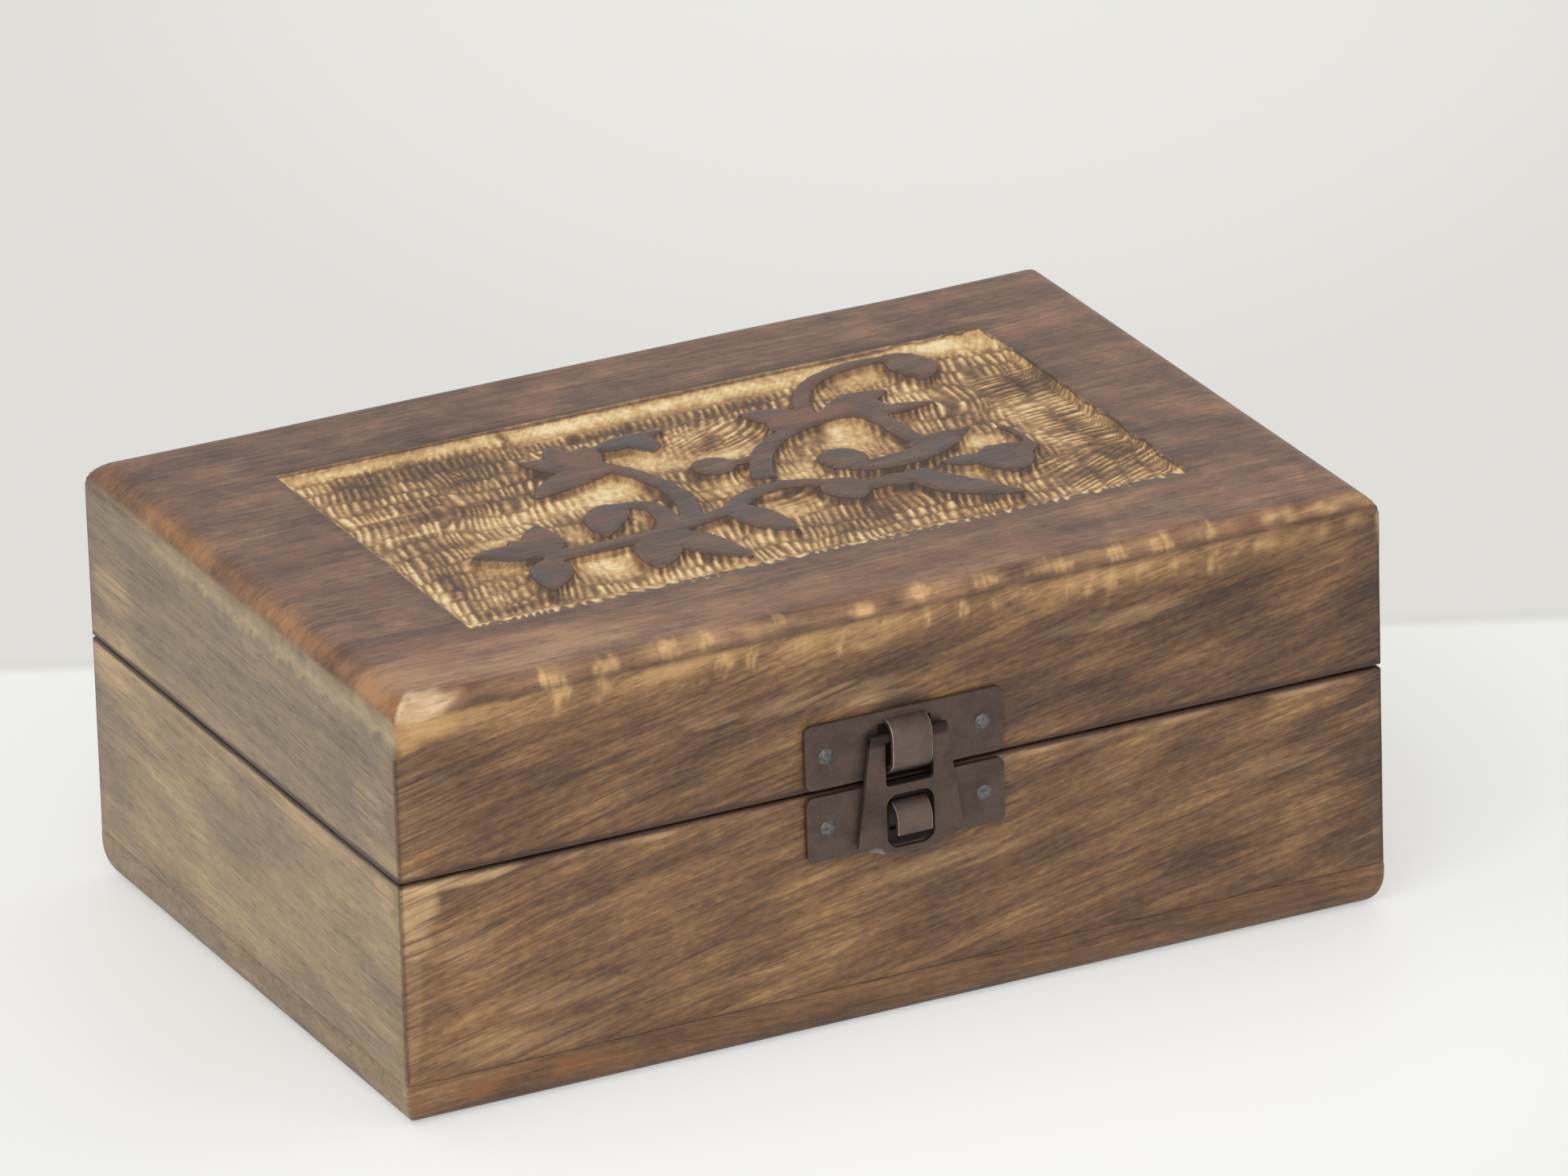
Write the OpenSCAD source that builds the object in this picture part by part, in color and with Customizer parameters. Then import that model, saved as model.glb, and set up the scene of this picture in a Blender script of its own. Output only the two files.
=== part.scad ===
// Carved wooden jewelry box: a hinged lid with a vine in low relief, closed by a hasp over a hook.
// +X runs along the front to the right, the front faces -Y, and the box stands on z = 0.

/* [Box] */
// Length of the box, from its left end to its right end
box_l = 152; // [130:1:220]
// Depth of the box, from its front face to its back face
box_w = 102; // [84:1:160]
// Height of the base, from the table to its rim
base_h = 36.4; // [30:0.1:70]
// Height of the lid, from its rim to its top
lid_h = 26.3; // [22:0.1:50]
// Open line between the rim of the base and the rim of the lid
seam_gap = 0.3; // [0.2:0.05:0.6]

/* [Boards] */
// Thickness of the four walls of the base and of the lid
wall_t = 8; // [7:0.5:12]
// Thickness of the board under the base
bottom_t = 6.5; // [6.2:0.1:12]
// Thickness of the carved board on top of the lid
top_t = 8; // [5:0.5:10]
// Bevel along the outer edges of both rims
rim_bevel = 0.7; // [0.2:0.1:1.5]
// Bevel down the upright corners
corner_bevel = 0.6; // [0.2:0.1:1.5]
// Rounding under the box
foot_round = 6; // [1:0.5:6]
// Rounding of the top board along the front and the back
side_round = 3; // [1:0.1:4.5]
// Rounding of the top board at its two ends
end_round = 4.2; // [1:0.1:4.5]

/* [Carving] */
// Length of the carved panel
panel_l = 111.5; // [90:0.5:114]
// Width of the carved panel
panel_w = 64.5; // [50:0.5:66]
// Depth of the carved panel below the top of the lid
panel_depth = 1.3; // [0.8:0.1:3]
// How far the panel lies to the right of the middle of the lid
panel_x = 0.8; // [-3:0.1:3]

/* [Clasp] */
// How far the clasp lies to the right of the middle of the front
clasp_x = 0.8; // [-10:0.1:10]
// Thickness of the clasp's sheet steel
clasp_t = 0.8; // [0.6:0.05:1]
// Length of the plate on the lid and of the plate on the base
plate_l = 30.6; // [27:0.1:40]
// Height of both plates
plate_h = 9.6; // [9.4:0.1:11]
// Rounding of the plates' corners
plate_round = 1.2; // [0.5:0.1:2]
// Gap between each plate and the rim below or above it
plate_inset = 0.4; // [0:0.1:1]
// Distance between the two nails of a plate
nail_pitch = 24.2; // [22:0.1:25]
// Width of the bridge that holds the hasp
bridge_w = 6.1; // [5:0.1:6.6]
// How far the bridge stands out from its plate
bridge_rise = 2.6; // [2.55:0.05:3]
// Width of the hook
hook_w = 5.3; // [4:0.1:6]
// Height of the hook, from its root down to its tip
hook_h = 4.6; // [4:0.1:5.2]
// How far the hook stands out from its plate
hook_rise = 2.8; // [2.4:0.1:3.4]

/* [Hasp] */
// Width of the hasp at its pivot
hasp_top_w = 11.8; // [11.4:0.1:14]
// Width of the hasp at its lower end
hasp_low_w = 16.2; // [14:0.1:19]
// Length of the hasp, from its pivot to its lower end
hasp_l = 17.4; // [17:0.1:19]
// Width of the hasp's two openings
slot_w = 7.4; // [7:0.1:8.4]
// Height of the opening that takes the hook
slot_h = 8; // [7.6:0.1:8.4]
// Height of the bar between the two openings
crossbar_h = 1.3; // [1:0.1:1.5]
// Height of the bar below the hook
lip_h = 0.9; // [0.7:0.1:1.4]
// Radius of the rolled bar that turns in the bridge
roll_r = 0.75; // [0.6:0.01:0.78]
// Space left round the rolled bar
roll_play = 0.05; // [0.03:0.01:0.1]
// Height of the shallow round at the hasp's lower end
hasp_sag = 1.8; // [1:0.1:2.4]

/* [Hinges] */
// Distance from each end of the box to the middle of the nearer hinge
hinge_inset = 32; // [22:1:40]
// Length of each hinge
hinge_l = 20; // [14:1:26]
// Height of each leaf, from the pin's axis
leaf_h = 9; // [7:0.5:12]
// Thickness of the hinges' sheet steel
leaf_t = 0.7; // [0.5:0.05:0.9]
// Radius of the hinge pins
pin_r = 0.8; // [0.7:0.05:1.2]
// Space left round the pins in the knuckles
pin_play = 0.03; // [0.02:0.01:0.08]
// Gap between one knuckle and the next
knuckle_gap = 0.2; // [0.1:0.05:0.5]
// Radius of the riveted ends of the pins
pin_head_r = 1.15; // [1:0.05:1.4]
// Thickness of the riveted ends of the pins
pin_head_t = 0.4; // [0.2:0.05:0.8]
// Distance between the two nails of a leaf
leaf_nail_pitch = 13; // [10:0.5:15]

/* [Nails] */
// Length of the nails' shanks, from below the head
nail_l = 6; // [4:0.5:6.5]
// Radius of the nails' shanks
nail_r = 0.55; // [0.4:0.05:0.7]
// Radius of the heads on the clasp
clasp_head_r = 1.15; // [0.9:0.05:1.4]
// Radius of the heads on the hinges
hinge_head_r = 1; // [0.9:0.05:1.3]
// Height of the nails' domed heads
head_h = 0.5; // [0.3:0.05:0.6]
// Space left round the nails' shanks
nail_play = 0.02; // [0.01:0.01:0.05]

/* [Hidden] */
$fn = 48;

// Colours
WALL = "#9a7448";
DARK = "#5a4038";
STEEL = "#6a5a54";
NAIL = "#8b9298";

// Heights of the base, the seam and the lid
lid_z = base_h + seam_gap;
top_z = lid_z + lid_h;
rail_h = lid_h - top_t;
seam_z = base_h + seam_gap / 2;
front_y = -box_w / 2;
back_y = box_w / 2;

// Clasp: heights of the plates, the bridge, the hasp's pivot, its openings and the hook.
// The plate keeps a strip below and above the bridge, and the hook hangs clear of its opening's top.
hasp_plate_z = lid_z + plate_inset;
catch_plate_z = base_h - plate_inset - plate_h;
bridge_below = 0.6;
bridge_above = 1;
bridge_h = plate_h - bridge_below - bridge_above;
bridge_z = hasp_plate_z + bridge_below;
bridge_out = clasp_t + bridge_rise;
pivot_out = bridge_out - clasp_t - roll_play - roll_r;
pivot_y = front_y - pivot_out;
pivot_z = bridge_z + bridge_h - bridge_rise;
slot_z = pivot_z - hasp_l + lip_h;
window_z = slot_z + slot_h + crossbar_h;
window_top_z = pivot_z - roll_r / 2;
hook_clear = 1.2;
hook_z = slot_z + slot_h - hook_clear;
hook_out = clasp_t + hook_rise;
slot_round = 1.8;
window_round = 0.6;
// The hasp's lower edge curls outwards by this angle, on this radius
curl_angle = 50;
curl_r = 1.6;
// A little more than any sheet is thick, for cuts that go right through
past = 1;
// A little overlap that joins two pieces of one outline
weld = 0.01;

// Hinges: the knuckles' outer radius puts the pin's axis just behind the back face
hinge_pitch = box_l - 2 * hinge_inset;
bore_r = pin_r + pin_play;
knuckle_r = bore_r + leaf_t;
pin_y = back_y + knuckle_r;
knuckle_l = (hinge_l - 2 * knuckle_gap) / 3;
leaf_nail_h = (leaf_h + knuckle_r) / 2;

// Turns an outline drawn in Y and Z into a bar that runs l along X
module along_x(l) {
    rotate([90, 0, 90]) linear_extrude(l, center = true) children();
}

// Turns an outline drawn in X and Z into a bar that runs l along Y
module along_y(l) {
    rotate([90, 0, 0]) linear_extrude(l, center = true) children();
}

// ---- Wooden boards ----

// Upright section of a board w wide and h high, with its two upper edges rounded
module rounded_section(w, h, r) {
    translate([-w / 2, 0]) square([w, h - r]);
    translate([-w / 2 + r, 0]) square([w - 2 * r, h]);
    for (side = [-1, 1])
        translate([side * (w / 2 - r), h - r]) circle(r);
}

// Plan of the whole box, with its upright corners bevelled
module box_plan() {
    x = box_l / 2;
    y = box_w / 2;
    c = corner_bevel;
    polygon([[c - x, -y], [x - c, -y], [x, c - y], [x, y - c], [x - c, y], [c - x, y], [-x, y - c], [-x, c - y]]);
}

// A board as large as the box, h thick, with its upper edges rounded
module rounded_board(h, end_r, side_r) {
    intersection() {
        linear_extrude(h) box_plan();
        along_x(box_l) rounded_section(box_w, h, side_r);
        along_y(box_w) rounded_section(box_l, h, end_r);
    }
}

// The front wall of an l by w frame that is h high, mitred at both ends
module mitred_wall(l, w, h, low_bevel, high_bevel) {
    x = l / 2;
    y = -w / 2;
    c = corner_bevel;
    t = wall_t;
    intersection() {
        linear_extrude(h)
            polygon([[c - x, y], [x - c, y], [x - c / 2, y + c / 2],
                [x - t, y + t], [t - x, y + t], [c / 2 - x, y + c / 2]]);
        along_x(l) translate([y, 0])
            polygon([[low_bevel, 0], [t, 0], [t, h], [high_bevel, h], [0, h - high_bevel], [0, low_bevel]]);
    }
}

module base_wall(l, w) {
    translate([0, 0, bottom_t]) mitred_wall(l, w, base_h - bottom_t, 0, rim_bevel);
}

module lid_wall(l, w) {
    translate([0, 0, lid_z]) mitred_wall(l, w, rail_h, rim_bevel, 0);
}

module bottom_board() {
    color(WALL) translate([0, 0, bottom_t]) mirror([0, 0, 1])
        rounded_board(bottom_t, foot_round, foot_round);
}

module base_front_board() {
    color(WALL) difference() {
        base_wall(box_l, box_w);
        catch_nail_spots() nail_hole();
    }
}

module base_back_board() {
    color(WALL) difference() {
        rotate(180) base_wall(box_l, box_w);
        base_leaf_nail_spots() nail_hole();
    }
}

module base_left_board() {
    color(WALL) rotate(-90) base_wall(box_w, box_l);
}

module base_right_board() {
    color(WALL) rotate(90) base_wall(box_w, box_l);
}

module lid_front_rail() {
    color(WALL) difference() {
        lid_wall(box_l, box_w);
        hasp_nail_spots() nail_hole();
    }
}

module lid_back_rail() {
    color(WALL) difference() {
        rotate(180) lid_wall(box_l, box_w);
        lid_leaf_nail_spots() nail_hole();
    }
}

module lid_left_rail() {
    color(WALL) rotate(-90) lid_wall(box_w, box_l);
}

module lid_right_rail() {
    color(WALL) rotate(90) lid_wall(box_w, box_l);
}

// ---- Carved vine ----

// The vine is drawn for a panel of this size, from its middle, and follows the panel's real size
drawn_l = 111.5;
drawn_w = 64.5;
// Steps along each stroke of the gouge
stroke_steps = 10;

// Stems: points that the curve bends towards, and the width
STEMS = [
    [[[-36, -14], [-28, -12.6], [-20, -17], [-11, -11], [-3, -10.5]], 3.4],
    [[[-13, -13], [-7, -4], [-9, 5], [-12.5, 12], [-18, 17]], 3.2],
    [[[-16.5, -14], [-13, -5], [-14, -1.5], [-20.5, -2.6]], 3.3],
    [[[-5.5, -11], [0, -4.5], [7, -5], [12.5, -11]], 3.2],
    [[[11, -12], [16, -13], [20, -12.5], [25, -12]], 3.4],
    [[[3.5, -3], [6.5, 7], [12, 12.5], [24, 13]], 3.2],
    [[[20, 13.5], [31, 15], [26.5, 3], [29, -4]], 3.6],
    [[[19, 12.5], [20, 26.5], [30, 31.5], [42.5, 27.5]], 2.6],
    [[[0, 4.5], [4, 4], [7.5, 5]], 2],
    [[[40.8, -2.5], [42.6, -6.5], [41.3, -11]], 1.2]];

// Leaves: stalk end, point that the blade bends towards, tip, and the width
LEAVES = [
    [[-14, 12.5], [-19, 14.5], [-23.8, 19.5], 5.6],
    [[-16, 14], [-18, 17], [-18, 22.5], 5.4],
    [[-15.5, 13], [-15, 17], [-13, 20.5], 4.6],
    [[-12.5, 11.5], [-20, 12], [-27.5, 6.5], 5.4],
    [[-12.8, 18.6], [-8, 18.8], [-1.2, 20.6], 4],
    [[-6, 19.5], [-5, 17], [-5.6, 13.8], 4.4],
    [[-34, -13.2], [-39.5, -8.2], [-44.4, -8.9], 5.2],
    [[-34, -13], [-36, -9.5], [-37.5, -5.8], 5],
    [[-34.5, -13], [-33.5, -8], [-31.8, -2.4], 5.6],
    [[-35, -14], [-37, -18.5], [-39.6, -24.6], 5.8],
    [[-18.5, -13.5], [-20.5, -18.5], [-23.6, -25], 6.6],
    [[-17, -13.5], [-14.5, -20], [-10.6, -27.6], 6.2],
    [[-18.5, -1.2], [-22.5, -3.5], [-25, -11], 6],
    [[-4.8, -9.5], [-4.2, -15.5], [-0.8, -22], 6],
    [[11.3, -7.8], [12, -12], [12, -16.3], 7],
    [[18.5, -10.8], [20, -12.5], [19.5, -15.2], 4.2],
    [[22, -10.2], [23.4, -18.5], [33, -25.6], 6],
    [[19.5, 13.5], [15.5, 16.5], [10.8, 20], 5.6],
    [[18.5, 14.5], [14.5, 15], [12.4, 12], 4.2],
    [[38.8, 29.8], [42, 24.5], [39.5, 18.8], 6.8],
    [[21.5, 13.5], [27, 17], [33, 17.8], 5.2],
    [[23.5, 14.5], [28.5, 15.5], [30.5, 12.2], 4.8],
    [[25.5, 11.5], [31, 11], [37, 10.6], 3.2],
    [[13.5, -4.5], [25.5, -9.6], [37, -0.2], 4.6],
    [[26, -3], [31, -2.2], [37, -0.8], 3.6],
    [[35, -11], [31, -12], [27.6, -10.2], 3.6],
    [[33.5, -10.5], [38.5, -11.8], [42.6, -10.6], 5.2],
    [[35.8, -8.2], [36.6, -13], [35.2, -18.6], 8.6]];

// Berries: middle and radius
BERRIES = [[[-0.7, 4.7], 3.1], [[16.3, -1.7], 3.4]];

// Point at share t along the curve with these handles
function on_curve(handles, t) =
    len(handles) == 1 ? handles[0] :
    on_curve([for (i = [0 : len(handles) - 2]) handles[i] * (1 - t) + handles[i + 1] * t], t);

// Share of the full width of a leaf at share t from its stalk to its tip
function leaf_girth(t) = 0.06 + 0.94 * pow(sin(180 * pow(t, 0.9)), 0.8);
function stem_girth(t) = 1 - 0.25 * t;

// A point of the drawing, moved to where it lies on the real panel
function on_panel(p) = [p.x * panel_l / drawn_l, p.y * panel_w / drawn_w];

// Outline of a stroke along a curve: out on its left side and back on its right side
function stroke(handles, width, girths) =
    let (n = stroke_steps,
        line = [for (i = [0 : n]) on_curve(handles, i / n)],
        runs = [for (i = [0 : n]) line[min(i + 1, n)] - line[max(i - 1, 0)]],
        sides = [for (i = [0 : n]) [-runs[i].y, runs[i].x] / norm(runs[i]) * girths[i] * width / 2])
    concat([for (i = [0 : n]) on_panel(line[i] + sides[i])],
        [for (i = [n : -1 : 0]) on_panel(line[i] - sides[i])]);

module vine() {
    stem_girths = [for (i = [0 : stroke_steps]) stem_girth(i / stroke_steps)];
    leaf_girths = [for (i = [0 : stroke_steps]) leaf_girth(i / stroke_steps)];
    for (s = STEMS) polygon(stroke(s[0], s[1], stem_girths));
    for (f = LEAVES) polygon(stroke([f[0], f[1], f[2]], f[3], leaf_girths));
    for (b = BERRIES) translate(on_panel(b[0])) circle(b[1], $fn = 20);
}

module top_board() {
    color(DARK) difference() {
        translate([0, 0, lid_z + rail_h]) rounded_board(top_t, end_round, side_round);
        translate([panel_x, 0, top_z - panel_depth]) linear_extrude(panel_depth + past)
            difference() {
                square([panel_l, panel_w], center = true);
                vine();
            }
    }
}

// ---- Nails ----

// Places a nail's own frame on the front face: its head faces the front and its shank runs into the wood
module on_front(x, z) {
    translate([x, front_y, z]) rotate([90, 0, 0]) children();
}

module on_back(x, z) {
    translate([x, back_y, z]) rotate([-90, 0, 0]) children();
}

module catch_nail_spots() {
    for (side = [-1, 1])
        on_front(clasp_x + side * nail_pitch / 2, catch_plate_z + plate_h / 2) children();
}

module hasp_nail_spots() {
    for (side = [-1, 1])
        on_front(clasp_x + side * nail_pitch / 2, hasp_plate_z + plate_h / 2) children();
}

module base_leaf_nail_spots() {
    for (hinge = [-1, 1], side = [-1, 1])
        on_back(hinge * hinge_pitch / 2 + side * leaf_nail_pitch / 2, seam_z - leaf_nail_h) children();
}

module lid_leaf_nail_spots() {
    for (hinge = [-1, 1], side = [-1, 1])
        on_back(hinge * hinge_pitch / 2 + side * leaf_nail_pitch / 2, seam_z + leaf_nail_h) children();
}

// A nail through sheet that is t thick: z = 0 is the face of the wood
module nail(t, head_r) {
    ball_r = (head_r * head_r + head_h * head_h) / (2 * head_h);
    translate([0, 0, t - nail_l]) cylinder(h = nail_l, r = nail_r, $fn = 24);
    intersection() {
        translate([0, 0, t + head_h - ball_r]) sphere(ball_r, $fn = 64);
        translate([0, 0, t]) cylinder(h = head_h, r = head_r, $fn = 32);
    }
}

// The hole that a nail leaves in the wood and in the sheet over it
module nail_hole() {
    translate([0, 0, -nail_l - past]) cylinder(h = nail_l + 2 * past + clasp_t, r = nail_r + nail_play, $fn = 24);
}

module catch_plate_nails() {
    color(NAIL) catch_nail_spots() nail(clasp_t, clasp_head_r);
}

module hasp_plate_nails() {
    color(NAIL) hasp_nail_spots() nail(clasp_t, clasp_head_r);
}

module base_hinge_nails() {
    color(NAIL) base_leaf_nail_spots() nail(leaf_t, hinge_head_r);
}

module lid_hinge_nails() {
    color(NAIL) lid_leaf_nail_spots() nail(leaf_t, hinge_head_r);
}

// ---- Clasp ----

// Draws in the plane of the front face, and extrudes outwards from d0 to d1 in front of it
module front_sheet(d0, d1) {
    translate([clasp_x, front_y - d0, 0]) rotate([90, 0, 0]) linear_extrude(d1 - d0) children();
}

// Draws a section of the clasp, with the distance in front of the face along the first axis
module side_section(w) {
    translate([clasp_x, front_y, 0]) mirror([0, 1, 0]) along_x(w) children();
}

// Rectangle with rounded corners, standing on the middle of its lower edge
module rounded_plate(w, h, r) {
    translate([-w / 2, r]) square([w, h - 2 * r]);
    translate([-w / 2 + r, 0]) square([w - 2 * r, h]);
    for (x = [r - w / 2, w / 2 - r], y = [r, h - r])
        translate([x, y]) circle(r, $fn = 32);
}

// Section of a strip of sheet that is pressed out into a bridge, from z0 to z1
module bridge_section(z0, z1, out, t) {
    difference() {
        translate([0, z0]) half_round(out, z1 - z0, out - t);
        translate([-past, z0 + t]) half_round(out - t + past, z1 - z0 - 2 * t, out - 2 * t);
    }
}

// Rectangle from the face outwards, with its two outer corners rounded
module half_round(out, h, r) {
    intersection() {
        square([out, h]);
        union() {
            square([out - r, h]);
            translate([0, r]) square([out, h - 2 * r]);
            for (y = [r, h - r])
                translate([out - r, y]) circle(r, $fn = 40);
        }
    }
}

module hasp_plate() {
    color(STEEL) {
        difference() {
            front_sheet(0, clasp_t) translate([0, hasp_plate_z]) rounded_plate(plate_l, plate_h, plate_round);
            front_sheet(-past, clasp_t + past)
                translate([-bridge_w / 2 - past, bridge_z + clasp_t])
                    square([bridge_w + 2 * past, bridge_h - 2 * clasp_t]);
            hasp_nail_spots() nail_hole();
        }
        side_section(bridge_w) bridge_section(bridge_z, bridge_z + bridge_h, bridge_out, clasp_t);
    }
}

// Section of the hook: out of its plate on a quarter round, then down to a rounded tip
module hook_section() {
    r = hook_rise;
    translate([clasp_t, hook_z - r]) intersection() {
        difference() {
            circle(r, $fn = 48);
            circle(r - clasp_t, $fn = 48);
        }
        square(r);
    }
    translate([hook_out - clasp_t, hook_z - hook_h + clasp_t / 2]) square([clasp_t, hook_h - r - clasp_t / 2]);
    translate([hook_out - clasp_t / 2, hook_z - hook_h + clasp_t / 2]) circle(clasp_t / 2, $fn = 24);
    translate([0, hook_z - clasp_t]) square([clasp_t, clasp_t]);
}

module catch_plate() {
    color(STEEL) {
        difference() {
            front_sheet(0, clasp_t) translate([0, catch_plate_z]) rounded_plate(plate_l, plate_h, plate_round);
            front_sheet(-past, clasp_t + past)
                translate([-hook_w / 2, hook_z - hook_h])
                    square([hook_w, hook_h - clasp_t]);
            catch_nail_spots() nail_hole();
        }
        side_section(hook_w) hook_section();
    }
}

// Outline of the hasp from the front: wider towards its lower end, which is a shallow round
module hasp_outline() {
    low = pivot_z - hasp_l;
    round_r = (hasp_low_w * hasp_low_w / 4 + hasp_sag * hasp_sag) / (2 * hasp_sag);
    difference() {
        union() {
            polygon([[-hasp_top_w / 2, pivot_z], [hasp_top_w / 2, pivot_z],
                [hasp_low_w / 2, low + hasp_sag], [-hasp_low_w / 2, low + hasp_sag]]);
            intersection() {
                translate([0, low + round_r]) circle(round_r, $fn = 96);
                translate([-hasp_low_w / 2, low]) square([hasp_low_w, hasp_sag + weld]);
            }
        }
        translate([0, slot_z]) rounded_plate(slot_w, slot_h, slot_round);
        translate([0, window_z]) rounded_plate(slot_w, window_top_z - window_z, window_round);
    }
}

// Section of the hasp's sheet: straight down from the pivot, with its lower end curled outwards
module hasp_section() {
    low = pivot_z - hasp_l;
    curl_h = curl_r * sin(curl_angle);
    translate([pivot_out - clasp_t / 2, low + curl_h]) square([clasp_t, hasp_l - curl_h]);
    translate([pivot_out + curl_r, low + curl_h]) intersection() {
        difference() {
            circle(curl_r + clasp_t / 2, $fn = 48);
            circle(curl_r - clasp_t / 2, $fn = 48);
        }
        polygon([[0, 0], [-2 * curl_r, 0], [-2 * curl_r, -2 * curl_r],
            [-2 * curl_r * cos(curl_angle), -2 * curl_r * sin(curl_angle)]]);
    }
}

module hasp() {
    color(STEEL) {
        intersection() {
            side_section(hasp_low_w + past) hasp_section();
            front_sheet(0, hook_out + 2 * past) hasp_outline();
        }
        translate([clasp_x, pivot_y, pivot_z]) rotate([0, 90, 0])
            cylinder(h = hasp_top_w, r = roll_r, center = true, $fn = 32);
    }
}

// ---- Hinges ----

// Section of a leaf across the pin: up = 1 on the lid and -1 on the base
module leaf_section(up) {
    translate([back_y, seam_z]) {
        translate([0, up > 0 ? 0 : -leaf_h]) square([leaf_t, leaf_h]);
        translate([knuckle_r, 0]) circle(knuckle_r, $fn = 40);
    }
}

// Length of pin axis that one knuckle takes, with play on both sides of it
module knuckle_room(x) {
    translate([x, pin_y, seam_z]) rotate([0, 90, 0])
        cylinder(h = knuckle_l + 2 * knuckle_gap, r = knuckle_r + knuckle_gap, center = true, $fn = 40);
}

// The hinge leaf on the base holds the two outer knuckles, and the one on the lid the middle knuckle
module hinge_leaf(up, side) {
    x = side * hinge_pitch / 2;
    outer_x = knuckle_l + knuckle_gap;
    color(STEEL) difference() {
        translate([x, 0, 0]) along_x(hinge_l) leaf_section(up);
        if (up > 0)
            for (step = [-1, 1]) translate([step * past / 2, 0, 0]) outer_room(x + step * outer_x);
        else
            knuckle_room(x);
        translate([x, pin_y, seam_z]) rotate([0, 90, 0])
            cylinder(h = hinge_l + past, r = bore_r, center = true, $fn = 32);
        if (up > 0) lid_leaf_nail_spots() nail_hole();
        else base_leaf_nail_spots() nail_hole();
    }
}

// Room for an outer knuckle, open past the end of the leaf
module outer_room(x) {
    translate([x, pin_y, seam_z]) rotate([0, 90, 0])
        cylinder(h = knuckle_l + 2 * knuckle_gap + past, r = knuckle_r + knuckle_gap, center = true, $fn = 40);
}

module hinge_left_base_leaf() {
    hinge_leaf(-1, -1);
}

module hinge_right_base_leaf() {
    hinge_leaf(-1, 1);
}

module hinge_left_lid_leaf() {
    hinge_leaf(1, -1);
}

module hinge_right_lid_leaf() {
    hinge_leaf(1, 1);
}

// A hinge pin with both of its ends riveted over
module hinge_pin(side) {
    color(STEEL) translate([side * hinge_pitch / 2, pin_y, seam_z]) rotate([0, 90, 0]) {
        cylinder(h = hinge_l + 2 * pin_play, r = pin_r, center = true, $fn = 32);
        for (end = [-1, 1])
            translate([0, 0, end * (hinge_l / 2 + pin_play + pin_head_t / 2)])
                cylinder(h = pin_head_t, r = pin_head_r, center = true, $fn = 32);
    }
}

module hinge_left_pin() {
    hinge_pin(-1);
}

module hinge_right_pin() {
    hinge_pin(1);
}

bottom_board();
base_front_board();
base_back_board();
base_left_board();
base_right_board();
catch_plate();
catch_plate_nails();
hinge_left_base_leaf();
hinge_right_base_leaf();
base_hinge_nails();
hinge_left_pin();
hinge_right_pin();
top_board();
lid_front_rail();
lid_back_rail();
lid_left_rail();
lid_right_rail();
hasp_plate();
hasp_plate_nails();
hinge_left_lid_leaf();
hinge_right_lid_leaf();
lid_hinge_nails();
hasp();
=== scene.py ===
import math
from types import SimpleNamespace

import bmesh
import bpy
import numpy as np
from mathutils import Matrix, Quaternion, Vector, noise
from mathutils.bvhtree import BVHTree


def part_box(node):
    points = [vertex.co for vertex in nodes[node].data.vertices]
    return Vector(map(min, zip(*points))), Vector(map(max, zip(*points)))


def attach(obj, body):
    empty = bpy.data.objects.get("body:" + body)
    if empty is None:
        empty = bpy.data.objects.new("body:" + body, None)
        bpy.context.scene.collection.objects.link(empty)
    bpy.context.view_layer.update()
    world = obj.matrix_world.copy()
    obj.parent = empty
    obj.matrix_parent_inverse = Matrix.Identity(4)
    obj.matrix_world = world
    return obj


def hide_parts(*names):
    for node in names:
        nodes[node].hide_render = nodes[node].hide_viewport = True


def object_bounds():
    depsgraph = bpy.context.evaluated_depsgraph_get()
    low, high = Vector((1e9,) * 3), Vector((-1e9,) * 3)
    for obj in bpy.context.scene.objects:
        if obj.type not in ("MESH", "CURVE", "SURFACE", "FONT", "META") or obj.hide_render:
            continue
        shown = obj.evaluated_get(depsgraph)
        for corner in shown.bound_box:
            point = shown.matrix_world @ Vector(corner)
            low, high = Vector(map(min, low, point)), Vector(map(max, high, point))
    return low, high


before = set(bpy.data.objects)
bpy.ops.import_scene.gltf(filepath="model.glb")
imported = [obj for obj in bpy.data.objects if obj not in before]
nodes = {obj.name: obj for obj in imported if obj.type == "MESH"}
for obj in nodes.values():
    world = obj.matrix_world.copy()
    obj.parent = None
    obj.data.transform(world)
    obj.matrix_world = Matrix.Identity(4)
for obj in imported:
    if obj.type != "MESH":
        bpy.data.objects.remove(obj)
cad_low, cad_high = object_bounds()
scene = bpy.context.scene
scene.view_settings.view_transform = "Standard"
MM = 0.001

# ---- Camera ----
# A long lens to the left of the front and a little above the box, rolled slightly.
# The view keeps the upright corners almost upright.
camera_azimuth = math.radians(-25.91)
camera_elevation = math.radians(22.65)
camera_roll = math.radians(-1.75)
camera_target = Vector((0.00825, 0, 0.04417))
camera_distance = 2.093
camera_back = Vector((
    math.sin(camera_azimuth) * math.cos(camera_elevation),
    -math.cos(camera_azimuth) * math.cos(camera_elevation),
    math.sin(camera_elevation),
))
camera = bpy.data.objects.new("camera", bpy.data.cameras.new("camera"))
camera.data.sensor_width = 36
camera.data.lens = 341.7
camera.data.clip_end = 50
camera.location = camera_target + camera_distance * camera_back
camera.rotation_mode = "QUATERNION"
camera.rotation_quaternion = (-camera_back).to_track_quat("-Z", "Y") @ Quaternion((0, 0, 1), camera_roll)
scene.collection.objects.link(camera)
scene.camera = camera


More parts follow.
